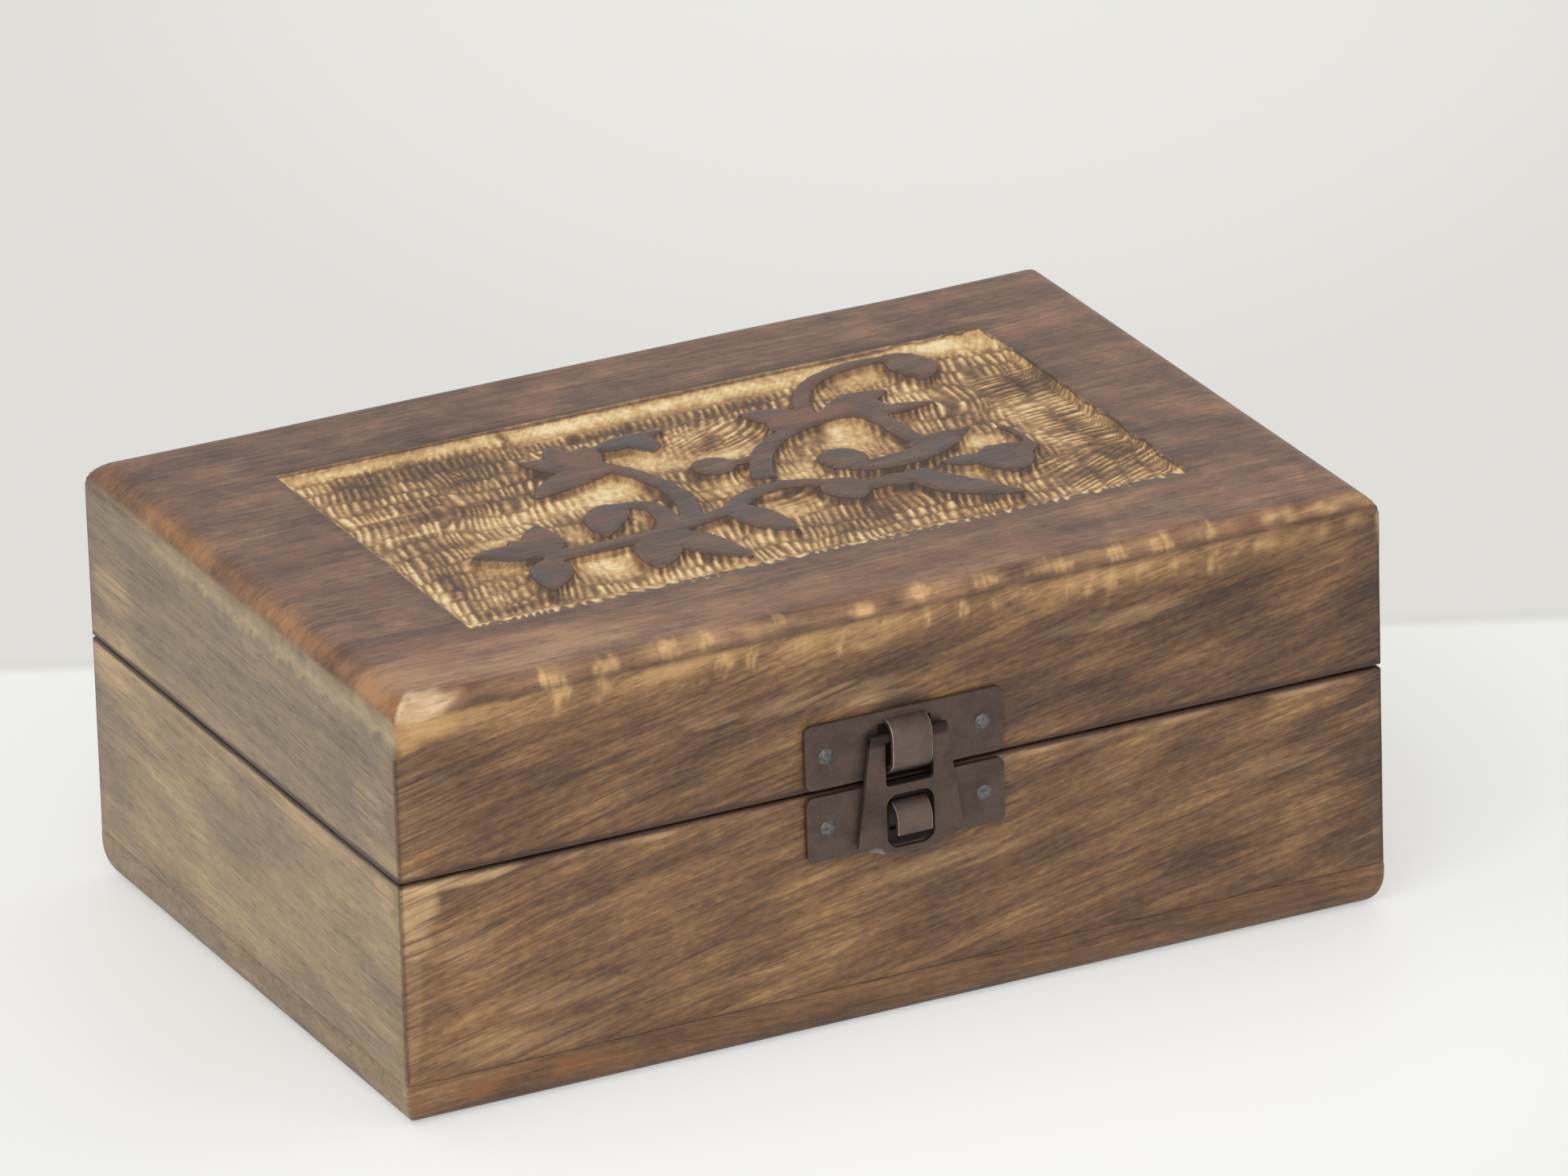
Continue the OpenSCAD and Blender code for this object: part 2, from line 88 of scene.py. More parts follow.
# ---- Table and studio light ----
# The box stands on a plain white table that ends at a pale wall just behind it.
# One large soft lamp hangs to the left, and the pale room fills in the rest.
class Wire:
    """An output socket in a finish. Arithmetic on wires adds the Math nodes that work it out."""

    def __init__(self, tree, socket=None):
        self.tree = tree
        self.socket = socket

    def node(self, kind, settings, inputs, output=0):
        """Adds a node, applies its settings, joins or sets its inputs and returns an output."""
        made = self.tree.nodes.new("ShaderNode" + kind)
        for name, value in settings.items():
            if name == "stops":
                for _ in value[2:]:
                    made.color_ramp.elements.new(0.5)
                for element, (place, tint) in zip(made.color_ramp.elements, value):
                    element.position = place
                    element.color = tint
            else:
                setattr(made, name, value)
        for key, value in inputs.items():
            if isinstance(value, Wire):
                self.tree.links.new(value.socket, made.inputs[key])
            else:
                made.inputs[key].default_value = value
        return Wire(self.tree, made.outputs[output]) if made.outputs else None

    def into(self, shader, name):
        """Joins this wire to an input of a shader."""
        self.tree.links.new(self.socket, shader.inputs[name])

    def output(self, name):
        """Another output of the node that this wire comes from."""
        return Wire(self.tree, self.socket.node.outputs[name])

    def math(self, operation, *values):
        return self.node("Math", {"operation": operation}, dict(enumerate(values)))

    def __add__(self, other):
        return self.math("ADD", self, other)

    def __sub__(self, other):
        return self.math("SUBTRACT", self, other)

    def __rsub__(self, other):
        return self.math("SUBTRACT", other, self)

    def __mul__(self, other):
        return self.math("MULTIPLY", self, other)

    def __truediv__(self, other):
        return self.math("DIVIDE", self, other)

    def __pow__(self, other):
        return self.math("POWER", self, other)

    def __abs__(self):
        return self.math("ABSOLUTE", self)

    __radd__ = __add__
    __rmul__ = __mul__

    def fade(self, start, end):
        """Rises smoothly from 0 where this wire is at start to 1 where it is at end."""
        settings = {"interpolation_type": "SMOOTHSTEP"}
        return self.node("MapRange", settings, {0: self, 1: start, 2: end})

    def tint(self, under, over, mode="MIX"):
        """Lays the colour over on the colour under, as far as this wire says."""
        settings = {"data_type": "RGBA", "blend_type": mode}
        return self.node("Mix", settings, {0: self, 6: under, 7: over}, 2)

    def ramp(self, *stops):
        return self.node("ValToRGB", {"stops": stops}, {0: self})


def paint(red, green, blue):
    """An opaque colour of 0 to 255 per channel, in the renderer's own linear values."""
    shares = [channel / 255 for channel in (red, green, blue)]
    return (*(s / 12.92 if s < 0.04045 else ((s + 0.055) / 1.055) ** 2.4 for s in shares), 1.0)


def new_finish(name):
    """An empty material, its start wire and its Principled shader."""
    material = bpy.data.materials.new(name)
    material.use_nodes = True
    tree = material.node_tree
    tree.nodes.clear()
    skin = tree.nodes.new("ShaderNodeBsdfPrincipled")
    surface = tree.nodes.new("ShaderNodeOutputMaterial")
    tree.links.new(skin.outputs[0], surface.inputs["Surface"])
    return material, Wire(tree), skin


def mm_point(start):
    """The place on the object as a vector in millimetres."""
    place = start.node("TexCoord", {}, {}, "Object")
    return start.node("VectorMath", {"operation": "SCALE"}, {0: place, "Scale": 1000.0})


def place_in_mm(start):
    """X, Y and Z on the object, in millimetres."""
    x = start.node("SeparateXYZ", {}, {0: mm_point(start)}, "X")
    return x, x.output("Y"), x.output("Z")


def link_piece(name, bm, materials):
    """Makes an object of a finished bmesh."""
    mesh = bpy.data.meshes.new(name)
    bm.to_mesh(mesh)
    bm.free()
    piece = bpy.data.objects.new(name, mesh)
    for material in materials:
        mesh.materials.append(material)
    scene.collection.objects.link(piece)
    return piece


def spot(x, z, middle_x, middle_z, reach_x, reach_z, core=0.25):
    """1 inside a soft oval spot and 0 outside it."""
    away = ((x - middle_x) / reach_x) ** 2 + ((z - middle_z) / reach_z) ** 2
    return away.fade(1.0, core)


def in_sight(start):
    """1 for what the camera sees, straight or by a reflection, and 0 for what only sheds light."""
    direct = start.node("LightPath", {}, {}, "Is Camera Ray")
    seen = start.math("MAXIMUM", direct, direct.output("Is Glossy Ray"))
    return start.math("MAXIMUM", seen, direct.output("Is Transmission Ray"))


wall_colour = paint(223, 222, 218)
painted_wall_glow_colour = paint(236, 235, 231)
table_colour = paint(240, 240, 238)
table_calm = paint(231, 231, 228)
painted_pool_colour = paint(255, 255, 254)
crease_shade_colour = paint(213, 213, 202)
table_end = 87.1
end_x, end_y = 0.4303, 0.9027
table_half = 6000.0
table_finish, start, skin = new_finish("white_table")
x, y, z = place_in_mm(start)
depth = x * end_x + y * end_y
aside = x * end_y - y * end_x
wall_share = depth.fade(table_end - 2.0, table_end + 4.0)
# Painted shade: a darker band along the crease where the table meets the wall.
crease_shade_share = 1 - abs(depth - table_end).fade(0.5, 5.5)
# Painted glow: the wall is lighter in a broad patch behind the box.
wall_with_painted_glow = spot(aside, depth, 35.0, 430.0, 165.0, 290.0, -0.25).tint(wall_colour, painted_wall_glow_colour)
backdrop = crease_shade_share.tint(wall_with_painted_glow, crease_shade_colour)
painted_backdrop = start.node("Emission", {}, {"Color": backdrop, "Strength": 1.0})
# Painted light: the camera sees the table half glowing, lighter in a pool in front of the box, which also
# lightens the box's shadow.
table_with_painted_pool = spot(x, y, -15.0, -82.0, 135.0, 88.0, -0.25).tint(table_calm, painted_pool_colour)
painted_table_light = start.node("Emission", {}, {"Color": table_with_painted_pool, "Strength": 1.0})
seen = in_sight(start)
skin.inputs["Base Color"].default_value = table_colour
skin.inputs["Roughness"].default_value = 0.45
skin.inputs["Specular IOR Level"].default_value = 0.3
surface = skin.outputs[0].links[0].to_node
lit_skin = Wire(start.tree, skin.outputs[0])
top_of_table = start.node("MixShader", {}, {0: seen * 0.5, 1: lit_skin, 2: painted_table_light})
mixed = wall_share.node("MixShader", {}, {0: wall_share, 1: top_of_table, 2: painted_backdrop})
mixed.into(surface, "Surface")
bm = bmesh.new()
bmesh.ops.create_grid(bm, x_segments=8, y_segments=8, size=table_half * MM)
bmesh.ops.translate(bm, verts=bm.verts, vec=(0, 0, -0.05 * MM))
table = link_piece("table", bm, [table_finish])

room_strength = 0.96
world = bpy.data.worlds.new("room")
scene.world = world
world.use_nodes = True
world.node_tree.nodes.clear()
start = Wire(world.node_tree)
seen = in_sight(start)
fill = start.node("Background", {}, {0: (1, 1, 1, 1), 1: room_strength})
plain = start.node("Background", {}, {0: wall_colour, 1: 1.0})
room = start.node("MixShader", {}, {0: seen, 1: fill, 2: plain})
start.node("OutputWorld", {}, {"Surface": room})

lamp = bpy.data.objects.new("softbox", bpy.data.lights.new("softbox", "AREA"))
lamp.data.shape = "SQUARE"
lamp.data.size = 1.1
lamp.data.energy = 10
lamp.location = Vector((-0.52, -0.50, 0.70)).normalized() * 1.7
lamp.rotation_mode = "QUATERNION"
lamp.rotation_quaternion = (-lamp.location).to_track_quat("-Z", "Y")
scene.collection.objects.link(lamp)


# ---- Base: the board underneath ----
# A mango-wood board under the whole base, its lower edges rounded with a router.
# It is stained darker than the walls, and glued under them.
def soft_noise(start, at, scale, detail, roughness):
    """Noise at a place: 0 to 1, about 0.5 on average."""
    inputs = {"Vector": at, "Scale": scale, "Detail": detail, "Roughness": roughness}
    return start.node("TexNoise", {}, inputs)


def streaks(start, u, v, w, length, width, seed, detail=3.0):
    """Noise drawn out along the grain."""
    at = start.node("CombineXYZ", {}, {0: u / length, 1: v / width, 2: w / (width * 2) + seed})
    return soft_noise(start, at, 1.0, detail, 0.55)


def grain(start, run, tilt, seed):
    """The grain of stained wood that runs along an axis and rises by an angle across the face."""
    x, y, z = place_in_mm(start)
    long, across, deep = {"x": (x, z, y), "y": (y, z, x), "flat": (x, y, z)}[run]
    u = long * math.cos(tilt) + across * math.sin(tilt)
    v = across * math.cos(tilt) - long * math.sin(tilt)
    v = v + (streaks(start, u, v, deep, 90.0, 30.0, seed) - 0.5) * 6.0
    broad = streaks(start, u, v, deep, 34.0, 3.2, seed + 3)
    fine = streaks(start, u, v, deep, 13.0, 0.7, seed + 7, 5.0)
    fibre = streaks(start, u, v, deep, 5.0, 0.22, seed + 11, 2.0)
    cloud = streaks(start, u, v, deep, 17.0, 8.0, seed + 17, 3.0)
    fleck = streaks(start, u, v, deep, 1.7, 0.8, seed + 29, 4.0)
    tone = 0.5 + (broad - 0.5) * 0.8 + (fine - 0.5) * 0.75 + (fibre - 0.5) * 0.6 + (cloud - 0.5) * 0.9
    dark_line = streaks(start, u, v, deep, 22.0, 0.5, seed + 37, 2.0).fade(0.58, 0.68)
    tone = tone + (fleck - 0.5) * 0.6 - dark_line * 0.16
    pores = streaks(start, u, v, deep, 3.0, 0.24, seed + 23, 1.0).fade(0.62, 0.72)
    return SimpleNamespace(
        start=start, x=x, y=y, z=z, u=u, v=v, deep=deep,
        tone=tone, fibre=fibre, fine=fine, pores=pores, cloud=cloud,
    )


def stained_wood(name, run, tilt, seed):
    """An empty wood material with its grain, which the boards' own marks are then laid on."""
    material, start, skin = new_finish(name)
    wood = grain(start, run, tilt, seed)
    wood.material, wood.skin = material, skin
    return wood


def finish_wood(wood, colour, roughness):
    """Joins a wood's colour, its roughness and the fine relief of its grain to its shader."""
    colour.into(wood.skin, "Base Color")
    roughness.into(wood.skin, "Roughness")
    height = wood.fibre * 0.6 + wood.fine * 0.9 - wood.pores * 0.8
    relief = {"Height": height, "Distance": grain_relief, "Strength": 1.0}
    bump = wood.start.node("Bump", {}, relief)
    bump.into(wood.skin, "Normal")


grain_relief = 0.00006
front_tilt, front_seed = math.radians(11), 31.0
end_tilt, end_seed = math.radians(2), 57.0
front_stains = (
    (0.0, paint(58, 38, 27)), (0.28, paint(86, 59, 40)), (0.5, paint(110, 78, 50)),
    (0.72, paint(134, 98, 62)), (1.0, paint(170, 132, 86)),
)
end_stains = (
    (0.0, paint(90, 76, 64)), (0.28, paint(114, 97, 79)), (0.5, paint(132, 112, 87)),
    (0.72, paint(150, 127, 95)), (1.0, paint(176, 149, 108)),
)
# Dark stain for pores, joints and scorch, and also the colour of painted shade under the box, behind the
# clasp and round the vine.
dark_stain_and_shade = paint(38, 25, 18)
seam_shade_colour = paint(50, 28, 22)
bare = paint(214, 178, 130)


def cut_through(bm, at, normal, clear=False):
    """Cuts a solid along a plane, and clears away what is beyond it if asked."""
    everything = bm.verts[:] + bm.edges[:] + bm.faces[:]
    cut = bmesh.ops.bisect_plane(bm, geom=everything, plane_co=at, plane_no=normal, clear_outer=clear)
    return cut["geom_cut"]


def round_over(bm, edges, size, segments, clamp=False):
    """Rounds edges over by a size."""
    return bmesh.ops.bevel(
        bm, geom=edges, offset=size, offset_type="OFFSET", affect="EDGES",
        segments=segments, profile=0.5, material=-1, clamp_overlap=clamp,
    )


def board_body(length, thickness, low, high, low_round, high_round):
    """A wall board that faces -Y with its face on y = 0, mitred at both ends, its outer edges eased."""
    bm = bmesh.new()
    bmesh.ops.create_cube(bm, size=1.0)
    for v in bm.verts:
        inner = v.co.y > 0
        reach = length / 2 - (thickness if inner else 0)
        v.co = ((reach if v.co.x > 0 else -reach), thickness if inner else 0, high if v.co.z > 0 else low)
    outer = [e for e in bm.edges if all(abs(v.co.y) < 1e-6 for v in e.verts)]
    for rim, size in ((low, low_round), (high, high_round)):
        picked = [e for e in outer if e.is_valid and all(abs(v.co.z - rim) < 1e-6 for v in e.verts)]
        if size:
            round_over(bm, picked, size, 3, True)
    for end in (-1, 1):
        cut = cut_through(bm, (end * (length / 2 - corner_round), 0, 0), (end, -1, 0), True)
        bmesh.ops.edgeloop_fill(bm, edges=[e for e in cut if isinstance(e, bmesh.types.BMEdge)])
    return bm


def soften(bm, seed, glued, rim, lift):
    """Cuts a board up finely and wears its face and its rim, as sanding does, but not its glue line."""
    lows = [min(v.co[i] for v in bm.verts) for i in range(3)]
    highs = [max(v.co[i] for v in bm.verts) for i in range(3)]
    for axis in (0, 2):
        count = int((highs[axis] - lows[axis]) / sanding_step)
        for i in range(1, count):
            at = Vector((0, 0, 0))
            at[axis] = lows[axis] + (highs[axis] - lows[axis]) * i / count
            normal = Vector((0, 0, 0))
            normal[axis] = 1
            cut_through(bm, at, normal)
    for v in bm.verts:
        worn = 0.5 + 0.5 * noise.noise(Vector((v.co.x / 16, v.co.z / 9, seed)))
        worn *= min(1.0, abs(v.co.z - glued) / 5)
        if v.co.y < 1.5:
            v.co.y += sanding_depth * worn
        near = max(0.0, 1 - abs(v.co.z - rim) / 2.5)
        v.co.z += lift * near * (0.5 + 0.5 * noise.noise(Vector((v.co.x / 21, v.co.y / 30, seed + 5.3))))


def settle(bm, turn=0.0, push=0.0):
    """Moves a board from its own place to its side of the box, and from millimetres to metres."""
    bmesh.ops.translate(bm, verts=bm.verts, vec=(0, -push, 0))
    bmesh.ops.rotate(bm, verts=bm.verts, cent=(0, 0, 0), matrix=Quaternion((0, 0, 1), turn).to_matrix())
    bmesh.ops.scale(bm, verts=bm.verts, vec=(MM, MM, MM))
    bmesh.ops.recalc_face_normals(bm, faces=bm.faces)


def smooth_below(piece, angle=35):
    """Smooth shading, but for edges sharper than an angle in degrees."""
    piece.data.shade_smooth()
    piece.data.set_sharp_from_angle(angle=math.radians(angle))


box_length = (cad_high.x - cad_low.x) / MM
low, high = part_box("base_front_board")
front = low.y / MM
box_depth = -2 * front
wall = (high.y - low.y) / MM
rim_z = high.z / MM
under_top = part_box("bottom_board")[1].z / MM
foot_round = 5.0
front_inset, end_inset = 0.62, 0.45
corner_round = 0.3
glue_edge = 0.04
rim_round = 0.65
rim_waver = 0.14
sanding_step, sanding_depth = 4.0, 0.07
stained_rim = 7.6

bottom_wood = stained_wood("bottom_wood", "x", 0.0, 5.0)
x, y, z = bottom_wood.x, bottom_wood.y, bottom_wood.z
tone = bottom_wood.tone * 0.8 + 0.11
end_share = (abs(x) - abs(y)).fade(26.0, 24.0)
body = end_share.tint(tone.ramp(*end_stains), tone.ramp(*front_stains))
rust = spot(x, z, -55.0, 3.0, 16.0, 3.2) * bottom_wood.cloud.fade(0.42, 0.58)
body = (rust * 0.6).tint(body, paint(140, 88, 48))
joint = 1 - (under_top - z).fade(0.1, 0.8)
shade_under = z.fade(2.6, 0.4)
body = (shade_under * 0.25 + joint * 0.10).tint(body, dark_stain_and_shade)
raw_ramp = (
    (0.0, paint(146, 106, 66)), (0.5, paint(184, 142, 96)), (1.0, paint(214, 176, 128)),
)
inner = (under_top - z).fade(0.05, 0.0) * (box_length / 2 - stained_rim - abs(x)).fade(0.0, 0.3)
body = inner.tint(body, tone.ramp(*raw_ramp))
finish_wood(bottom_wood, body, 0.62 - bottom_wood.tone * 0.12)

bm = bmesh.new()
bmesh.ops.create_cube(bm, size=1.0)
bmesh.ops.scale(bm, verts=bm.verts, vec=(box_length, box_depth, under_top))
bmesh.ops.translate(bm, verts=bm.verts, vec=(0, 0, under_top / 2))
feet = [e for e in bm.edges if all(v.co.z < 1e-6 for v in e.verts)]
round_over(bm, feet, foot_round, 9)
corner_x, corner_y = box_length / 2, box_depth / 2
arrises = [
    e for e in bm.edges
    if all(abs((corner_x - abs(v.co.x)) - (corner_y - abs(v.co.y))) < 1e-3 for v in e.verts)
    and all(abs(v.co.x) > corner_x - foot_round + 0.2 for v in e.verts)
]
round_over(bm, arrises, 0.4, 2, True)
for v in bm.verts:
    v.co.x = math.copysign(corner_x - (corner_x - abs(v.co.x)) * end_inset, v.co.x)
    v.co.y = math.copysign(corner_y - (corner_y - abs(v.co.y)) * front_inset, v.co.y)
brims = [e for e in bm.edges if all(v.co.z > under_top - 1e-6 for v in e.verts)]
round_over(bm, brims, glue_edge, 1)
settle(bm)
bottom = link_piece("bottom_board_wood", bm, [bottom_wood.material])
smooth_below(bottom)
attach(bottom, "base")
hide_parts("bottom_board")


# ---- Base: the four walls ----
# Solid mango-wood boards 8 mm thick, mitred and glued at the corners, stained after gluing.
# Stain is thin on the open rims, and the inside is left as bare wood.
low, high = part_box("lid_front_rail")
rail_low = low.z / MM
lid_joint_z = high.z / MM
seam_z = (rim_z + rail_low) / 2
lid_stain_z = 38.0


def front_tone(wood):
    """The front is a little darker to the right, and on the lid."""
    on_lid = (wood.z - lid_stain_z).fade(0.0, 4.0) * 0.10
    near_top = wood.z.fade(50.0, 55.5) * 0.08
    return wood.tone + 0.01 - wood.x * 0.0010 - on_lid - wood.x.fade(66.0, 76.0) * 0.10 + near_top


def end_tone(wood):
    """The ends are calmer than the front, and darker on the lid."""
    on_lid = (wood.z - lid_stain_z).fade(0.0, 4.0)
    patchy = streaks(wood.start, wood.u, wood.v, wood.deep, 30.0, 11.0, 4.0, 2.0)
    return (wood.tone - 0.5) * 0.66 + (patchy - 0.5) * 0.8 * (1 - on_lid * 0.5) + 0.58 - on_lid * 0.14


def wall_finish(wood, tone, stains, across, facing, marks, front_wear_and_shade):
    """The marks that all the walls have: dark joints, painted shade along the seam between lid and base and
    behind the clasp, pale patches, bare wood inside.
    """
    x, y, z = wood.x, wood.y, wood.z
    body = (wood.pores * 0.3).tint(tone.ramp(*stains), dark_stain_and_shade)
    for mark_at, mark_z, reach, reach_z, strength in marks:
        pale = spot(across, z, mark_at, mark_z, reach, reach_z) * facing.fade(0.0, -1.0)
        body = (pale * strength * wood.fine.fade(0.25, 0.6)).tint(body, bare)
    over_seam = z - seam_z
    rubbed_rim = over_seam.fade(-2.0, -1.3) * over_seam.fade(-0.4, -1.0) * wood.cloud.fade(0.44, 0.62)
    body = (rubbed_rim * (0.12 + front_wear_and_shade * 0.2)).tint(body, bare)
    waver = over_seam + (wood.cloud - 0.5) * 1.2
    from_face = x.math("MINIMUM", box_length / 2 - abs(x), box_depth / 2 - abs(y))
    # Painted shade: the faces darken along the gap between lid and base.
    seam = waver.math("MINIMUM", waver.fade(-1.0, -0.4), waver.fade(1.4, 0.5)) * (0.9 - front_wear_and_shade * 0.1)
    seam = seam * (from_face + (wood.cloud - 0.5) * 2.0).fade(1.5, 0.7)
    joint = (1 - abs(z - under_top).fade(0.1, 0.6)) * 0.10
    # Painted shade: the front wall's wood behind the clasp's windows is darkened.
    painted_shade_behind_clasp = spot(across, z, 0.8, 38.0, 8.0, 14.0) * facing.fade(0.0, -1.0)
    joint = joint.math("MAXIMUM", joint, painted_shade_behind_clasp * front_wear_and_shade)
    mitre = 1 - abs(abs(x) - abs(y) - (box_length - box_depth) / 2).fade(0.25, 0.75)
    dark = joint.math("MAXIMUM", joint, mitre * 0.5)
    body = dark.tint(body, dark_stain_and_shade)
    body = seam.tint(body, seam_shade_colour)
    inner = (from_face + (wood.cloud - 0.5) * 5.0).fade(2.2, 4.6)
    body = inner.tint(body, (tone * 0.8 + 0.1).ramp(*raw_ramp))
    finish_wood(wood, body, 0.55 - wood.fine * 0.14)


long_wood = stained_wood("long_wall_wood", "x", front_tilt, front_seed)
wall_finish(long_wood, front_tone(long_wood), front_stains, long_wood.x, long_wood.y, (
    (-67.0, 35.6, 11.0, 1.5, 0.5), (-73.6, 33.0, 4.2, 6.0, 0.55), (-74.0, 27.0, 3.2, 2.4, 0.35),
    (-75.0, 20.0, 2.4, 14.0, 0.15), (-72.5, 48.0, 7.0, 8.0, 0.12),
    (-12.0, 50.6, 16.0, 1.8, 0.18), (-2.0, 48.6, 7.0, 1.0, 0.3), (-28.0, 50.5, 5.0, 1.2, 0.2),
    (-58.0, 9.5, 16.0, 3.0, 0.14), (-68.0, 26.0, 9.0, 3.0, 0.14), (-52.0, 15.0, 12.0, 2.2, 0.12),
    (8.0, 22.0, 14.0, 2.0, 0.12), (62.0, 24.5, 9.0, 1.4, 0.16), (35.0, 52.5, 14.0, 1.6, 0.14),
), 0.9)
end_wood = stained_wood("end_wall_wood", "y", end_tilt, end_seed)
wall_finish(end_wood, end_tone(end_wood), end_stains, end_wood.y, end_wood.x, (
    (45.0, 33.0, 9.0, 4.0, 0.3), (-20.0, 34.6, 30.0, 1.4, 0.25), (43.0, 46.0, 8.0, 4.0, 0.28),
    (-46.0, 33.5, 4.0, 3.0, 0.3), (-38.0, 11.0, 10.0, 1.2, 0.2), (-42.0, 45.0, 6.0, 4.0, 0.2),
), 0.0)

corners = (
    ("front", 0.0, box_length, -front, long_wood),
    ("back", math.pi, box_length, -front, long_wood),
    ("left", -math.pi / 2, box_depth, box_length / 2, end_wood),
    ("right", math.pi / 2, box_depth, box_length / 2, end_wood),
)
for number, (side, turn, length, push, wood) in enumerate(corners):
    bm = board_body(length, wall, under_top, rim_z, glue_edge, rim_round)
    soften(bm, 3.0 + number, under_top, rim_z, -rim_waver)
    settle(bm, turn, push)
    piece = link_piece(f"base_{side}_wood", bm, [wood.material])
    smooth_below(piece, 50)
    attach(piece, "base")
    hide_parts(f"base_{side}_board")

# ---- Lid: the four rails ----
# The box was glued up closed and sawn open, so the lid's rails carry on the walls' grain.
# Their lower rims are sanded round like the rims of the base.
for number, (side, turn, length, push, wood) in enumerate(corners):
    bm = board_body(length, wall, rail_low, lid_joint_z, rim_round, 0.0)
    soften(bm, 13.0 + number, lid_joint_z, rail_low, rim_waver)
    settle(bm, turn, push)
    piece = link_piece(f"lid_{side}_rail_wood", bm, [wood.material])
    smooth_below(piece, 50)
    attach(piece, "lid")
    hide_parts(f"lid_{side}_rail")

# ---- Lid: the carved top board ----
# One board glued over the rails, its edges rounded. A gouge has sunk a panel round a vine,
# after staining, so the cuts are pale and the vine keeps the dark face of the board.
top_low, top_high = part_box("top_board")
top_z = top_high.z / MM
top_joint_z = top_low.z / MM
half_x = top_high.x / MM
half_y = top_high.y / MM
end_round = 4.2
side_round = 3.0
cut_pitch = 0.35

source = bmesh.new()
source.from_mesh(nodes["top_board"].data)
bmesh.ops.scale(source, verts=source.verts, vec=(1 / MM, 1 / MM, 1 / MM))
sunk = [
    f for f in source.faces
    if f.normal.z > 0.9999 and top_joint_z + 4 < f.calc_center_median().z < top_z - 0.4
]
ground_z = sunk[0].verts[0].co.z
sunk_corners = [v.co for f in sunk for v in f.verts]
left_x, right_x = min(c.x for c in sunk_corners), max(c.x for c in sunk_corners)
front_y, back_y = min(c.y for c in sunk_corners), max(c.y for c in sunk_corners)
cut_depth = top_z - ground_z


def beside_vine(face):
    """True for the upright sides of the vine, and not for the sides of the panel."""
    c = face.calc_center_median()
    inside = left_x + 0.1 < c.x < right_x - 0.1 and front_y + 0.1 < c.y < back_y - 0.1
    return inside and abs(face.normal.z) < 0.1 and c.z > ground_z


board_tree = BVHTree.FromBMesh(source)
vine_faces = [[v.co.copy() for v in f.verts] for f in source.faces if beside_vine(f)]
vine_points = [c for corners_of in vine_faces for c in corners_of]
vine_tree = BVHTree.FromPolygons(vine_points, [(3 * i, 3 * i + 1, 3 * i + 2) for i in range(len(vine_faces))])
source.free()


def scatter(i, j, seed):
    """A fixed random share for each pair of whole numbers."""
    spread = np.sin(i * 127.1 + j * 311.7 + seed * 74.7) * 43758.5453
    return spread - np.floor(spread)


def drift(x, y, size, seed):
    """A smooth random share that changes over size mm."""
    i, j = np.floor(x / size), np.floor(y / size)
    f, g = x / size - i, y / size - j
    f, g = f * f * (3 - 2 * f), g * g * (3 - 2 * g)
    low_row = scatter(i, j, seed) * (1 - f) + scatter(i + 1, j, seed) * f
    high_row = scatter(i, j + 1, seed) * (1 - f) + scatter(i + 1, j + 1, seed) * f
    return low_row * (1 - g) + high_row * g


def sway(x, y, size, seed):
    """A smooth random share as drift gives it, but from -0.5 to 0.5."""
    return drift(x, y, size, seed) - 0.5


def ease(value, start, end):
    """Rises smoothly from 0 at start to 1 at end."""
    share = np.clip((value - start) / (end - start), 0, 1)
    return share * share * (3 - 2 * share)


def gouge_rows(across, along, pitch, row, seed):
    """Ridges between short cuts made side by side in rows: 1 on a ridge, 0 in a cut and at a row's ends."""
    line = along / row + sway(across, along, 11.0, seed) * 0.9
    line += sway(across, along, 2.8, seed + 6) * 0.35
    number = np.floor(line)
    run = line - number
    slot = across / pitch + scatter(number, 0, seed) * 5
    slot += (
        sway(across, number * 5.3, 5.0, seed + 1) * 1.6
        + sway(across, number * 9.7, 1.9, seed + 5) * 0.8
    )
    slot += sway(across, along, 8.0, seed + 8) * 1.2
    tooth = np.floor(slot)
    share = scatter(tooth, number, seed + 2)
    ridge = (0.5 - 0.5 * np.cos(2 * np.pi * (slot - tooth))) ** (0.6 + 1.2 * share)
    start_reach = 0.10 + 0.35 * scatter(tooth, number, seed + 3)
    end_reach = 0.08 + 0.30 * scatter(tooth, number, seed + 4)
    taper = np.clip(run / start_reach, 0, 1) * np.clip((1 - run) / end_reach, 0, 1)
    return ridge * (0.2 + 0.8 * taper) * (0.45 + 0.55 * share)


def patches(x, y, marks):
    """Adds up soft oval marks: middle, reach and strength of each."""
    total = np.zeros_like(x)
    for middle_x, middle_y, reach_x, reach_y, strength in marks:
        total += strength * np.exp(-((x - middle_x) / reach_x) ** 2 - ((y - middle_y) / reach_y) ** 2)
    return total


def spaced(*runs):
    """Positions one after the other: each run is a start, an end and a number of steps."""
    places = [runs[0][0]]
    for begin, end, steps in runs:
        places += [begin + (end - begin) * (i + 1) / steps for i in range(steps)]
    return places


def over_the_edge(half, radius, steps):
    """How far out from the middle a rounded edge is at even turns."""
    turns = [math.pi / 2 * i / steps for i in range(steps + 1)]
    return [half - radius * (1 - math.cos(t)) for t in turns]


def lines_across(half, radius, low_cut, high_cut):
    """The grid's lines from side to side: close over the carving and the rounded edges."""
    edge = over_the_edge(half, radius, 7)
    steps = round((high_cut - low_cut + 1.6) / cut_pitch)
    begin, end = low_cut - 0.8, high_cut + 0.8
    middle = spaced((-edge[-1], begin, 10), (begin, end, steps), (end, edge[-1], 9))
    return np.array([-e for e in edge[:-1]] + middle + edge[-2::-1])


def edge_drop(place, half, radius):
    """How far below the top the board's rounded edge is."""
    into = np.clip((np.abs(place) - (half - radius)) / radius, 0, 1)
    return radius * (1 - np.sqrt(1 - into * into))


